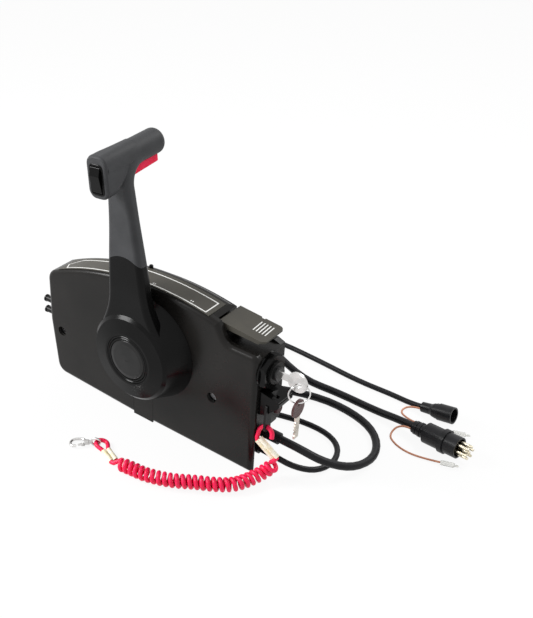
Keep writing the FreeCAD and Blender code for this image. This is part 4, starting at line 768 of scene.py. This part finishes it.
def printOn(node, lines, name, body):
    # lines: runs of plan places, each with a width, and whether it closes on itself
    shape = bmesh.new()
    tree = treeOf(node)
    for places, width, closed in lines:
        layStrip(shape, tree, edgePairs(denseRun(places, closed), width, closed), closed)
    bmesh.ops.recalc_face_normals(shape, faces=shape.faces)
    pieceOf(name, meshFrom(name, shape), "printWhite", body)


labelPrint = {
    "border": [(-133, -48.2), (77, -48.2), (77, -25.5), (-126, -25.5), (-140.5, -36.8)], "borderWidth": 1.4,
    "marks": [(2.0, -45.2), (55.0, -44.0)], "markWidth": 1.1, "markSize": (2.6, 2.2),
}
idlePrint = {
    "first": (126.0, -11.0), "last": (141.5, -11.0), "count": 5, "stroke": (1.0, -19.0), "width": 1.3,
}


def makePrints():
    lines = [(labelPrint["border"], labelPrint["borderWidth"], True)]
    wide, deep = labelPrint["markSize"]
    for x, y in labelPrint["marks"]:
        # two short bars stand for each gear's letter
        for dx in (-wide / 2, wide / 2):
            lines.append(([(x + dx, y - deep / 2), (x + dx, y + deep / 2)], labelPrint["markWidth"], False))
    printOn("gear_label_plate", lines, "label_print", "housing")
    (x0, y0), (x1, y1) = idlePrint["first"], idlePrint["last"]
    dx, dy = idlePrint["stroke"]
    bars = []
    for k in range(idlePrint["count"]):
        share = k / (idlePrint["count"] - 1)
        x, y = x0 + (x1 - x0) * share, y0 + (y1 - y0) * share
        bars.append(([(x, y), (x + dx, y + dy)], idlePrint["width"], False))
    printOn("fast_idle_plate", bars, "idle_print", "fast_idle")


nub = {
    "place": (-27.0, -16.5), "radius": 2.6, "height": 4.4, "sunk": 0.4,
    "sides": 32, "round": 1.5, "roundSteps": 4,
}


def makeNub():
    # a small rubber stop behind the label
    seat = landing(treeOf("front_housing"), Vector(nub["place"]))
    shape = postOf(nub, nub["height"], seat + Vector((0, 0, nub["height"] / 2 - nub["sunk"])))
    pieceOf("deck_nub", meshFrom("deckNub", shape), "glossBlack", "housing")


makePrints()
makeNub()
print("prints laid")


# Floor, lamps and world

studio = {
    "floorSize": 30.0, "floorDrop": 0.0002, "floorWhite": 0.9, "floorRough": 0.9, "floorShine": 0.1,
    "cameraShare": 0.92, "worldStrength": 0.5,
}
lamps = {
    "keyLamp": {"place": (-1.1, -0.9, 0.9), "size": (0.7, 0.6), "power": 26},
    "sparkLamp": {"place": (-0.95, -0.85, 1.1), "size": (0.13, 0.13), "power": 5},
    "topLamp": {"place": (0.5, 0.9, 1.3), "size": (1.0, 0.5), "power": 14},
}


def lightPathMask(nodes, join):
    # one for what the camera sees directly, mirrored or through a clear piece, else nothing
    path = nodes.new("ShaderNodeLightPath")
    first = nodes.new("ShaderNodeMath")
    first.operation = "MAXIMUM"
    second = nodes.new("ShaderNodeMath")
    second.operation = "MAXIMUM"
    join(path.outputs["Is Camera Ray"], first.inputs[0])
    join(path.outputs["Is Glossy Ray"], first.inputs[1])
    join(first.outputs[0], second.inputs[0])
    join(path.outputs["Is Transmission Ray"], second.inputs[1])
    return second.outputs[0]


def makeFloor():
    shape = bmesh.new()
    bmesh.ops.create_grid(shape, x_segments=1, y_segments=1, size=studio["floorSize"])
    bmesh.ops.translate(shape, verts=shape.verts, vec=(0, 0, floorZ * mm - studio["floorDrop"]))
    mesh = meshFrom("floor", shape)
    floor = linked("floor", mesh)
    material = bpy.data.materials.new("floorPaper")
    material.use_nodes = True
    nodes, join = material.node_tree.nodes, material.node_tree.links.new
    shader = nodes["Principled BSDF"]
    shader.inputs["Base Color"].default_value = (studio["floorWhite"],) * 3 + (1,)
    shader.inputs["Roughness"].default_value = studio["floorRough"]
    shader.inputs["Specular IOR Level"].default_value = studio["floorShine"]
    glow = nodes.new("ShaderNodeEmission")
    glow.inputs["Strength"].default_value = 1.0
    mix = nodes.new("ShaderNodeMixShader")
    share = nodes.new("ShaderNodeMath")
    share.operation = "MULTIPLY"
    share.inputs[1].default_value = studio["cameraShare"]
    join(lightPathMask(nodes, join), share.inputs[0])
    join(share.outputs[0], mix.inputs[0])
    join(shader.outputs[0], mix.inputs[1])
    join(glow.outputs[0], mix.inputs[2])
    join(mix.outputs[0], nodes["Material Output"].inputs["Surface"])
    mesh.materials.append(material)


def makeWorld():
    world = bpy.data.worlds.new("studio")
    world.use_nodes = True
    bpy.context.scene.world = world
    nodes, join = world.node_tree.nodes, world.node_tree.links.new
    back = nodes["Background"]
    back.inputs["Color"].default_value = (1, 1, 1, 1)
    strength = nodes.new("ShaderNodeMapRange")
    strength.inputs["To Min"].default_value = studio["worldStrength"]
    strength.inputs["To Max"].default_value = 1.0
    join(lightPathMask(nodes, join), strength.inputs["Value"])
    join(strength.outputs["Result"], back.inputs["Strength"])


def makeLamp(name, look):
    # a flat lamp that faces the lever's pivot
    data = bpy.data.lights.new(name, "AREA")
    data.shape = "RECTANGLE"
    data.size, data.size_y = look["size"]
    data.energy = look["power"]
    lamp = linked(name, data)
    lamp.location = look["place"]
    lamp.rotation_euler = (-Vector(look["place"])).to_track_quat("-Z", "Y").to_euler()


makeFloor()
makeWorld()
for name, look in lamps.items():
    makeLamp(name, look)
bpy.context.scene.view_settings.view_transform = "Standard"
print("studio ready")

print("scene finished")
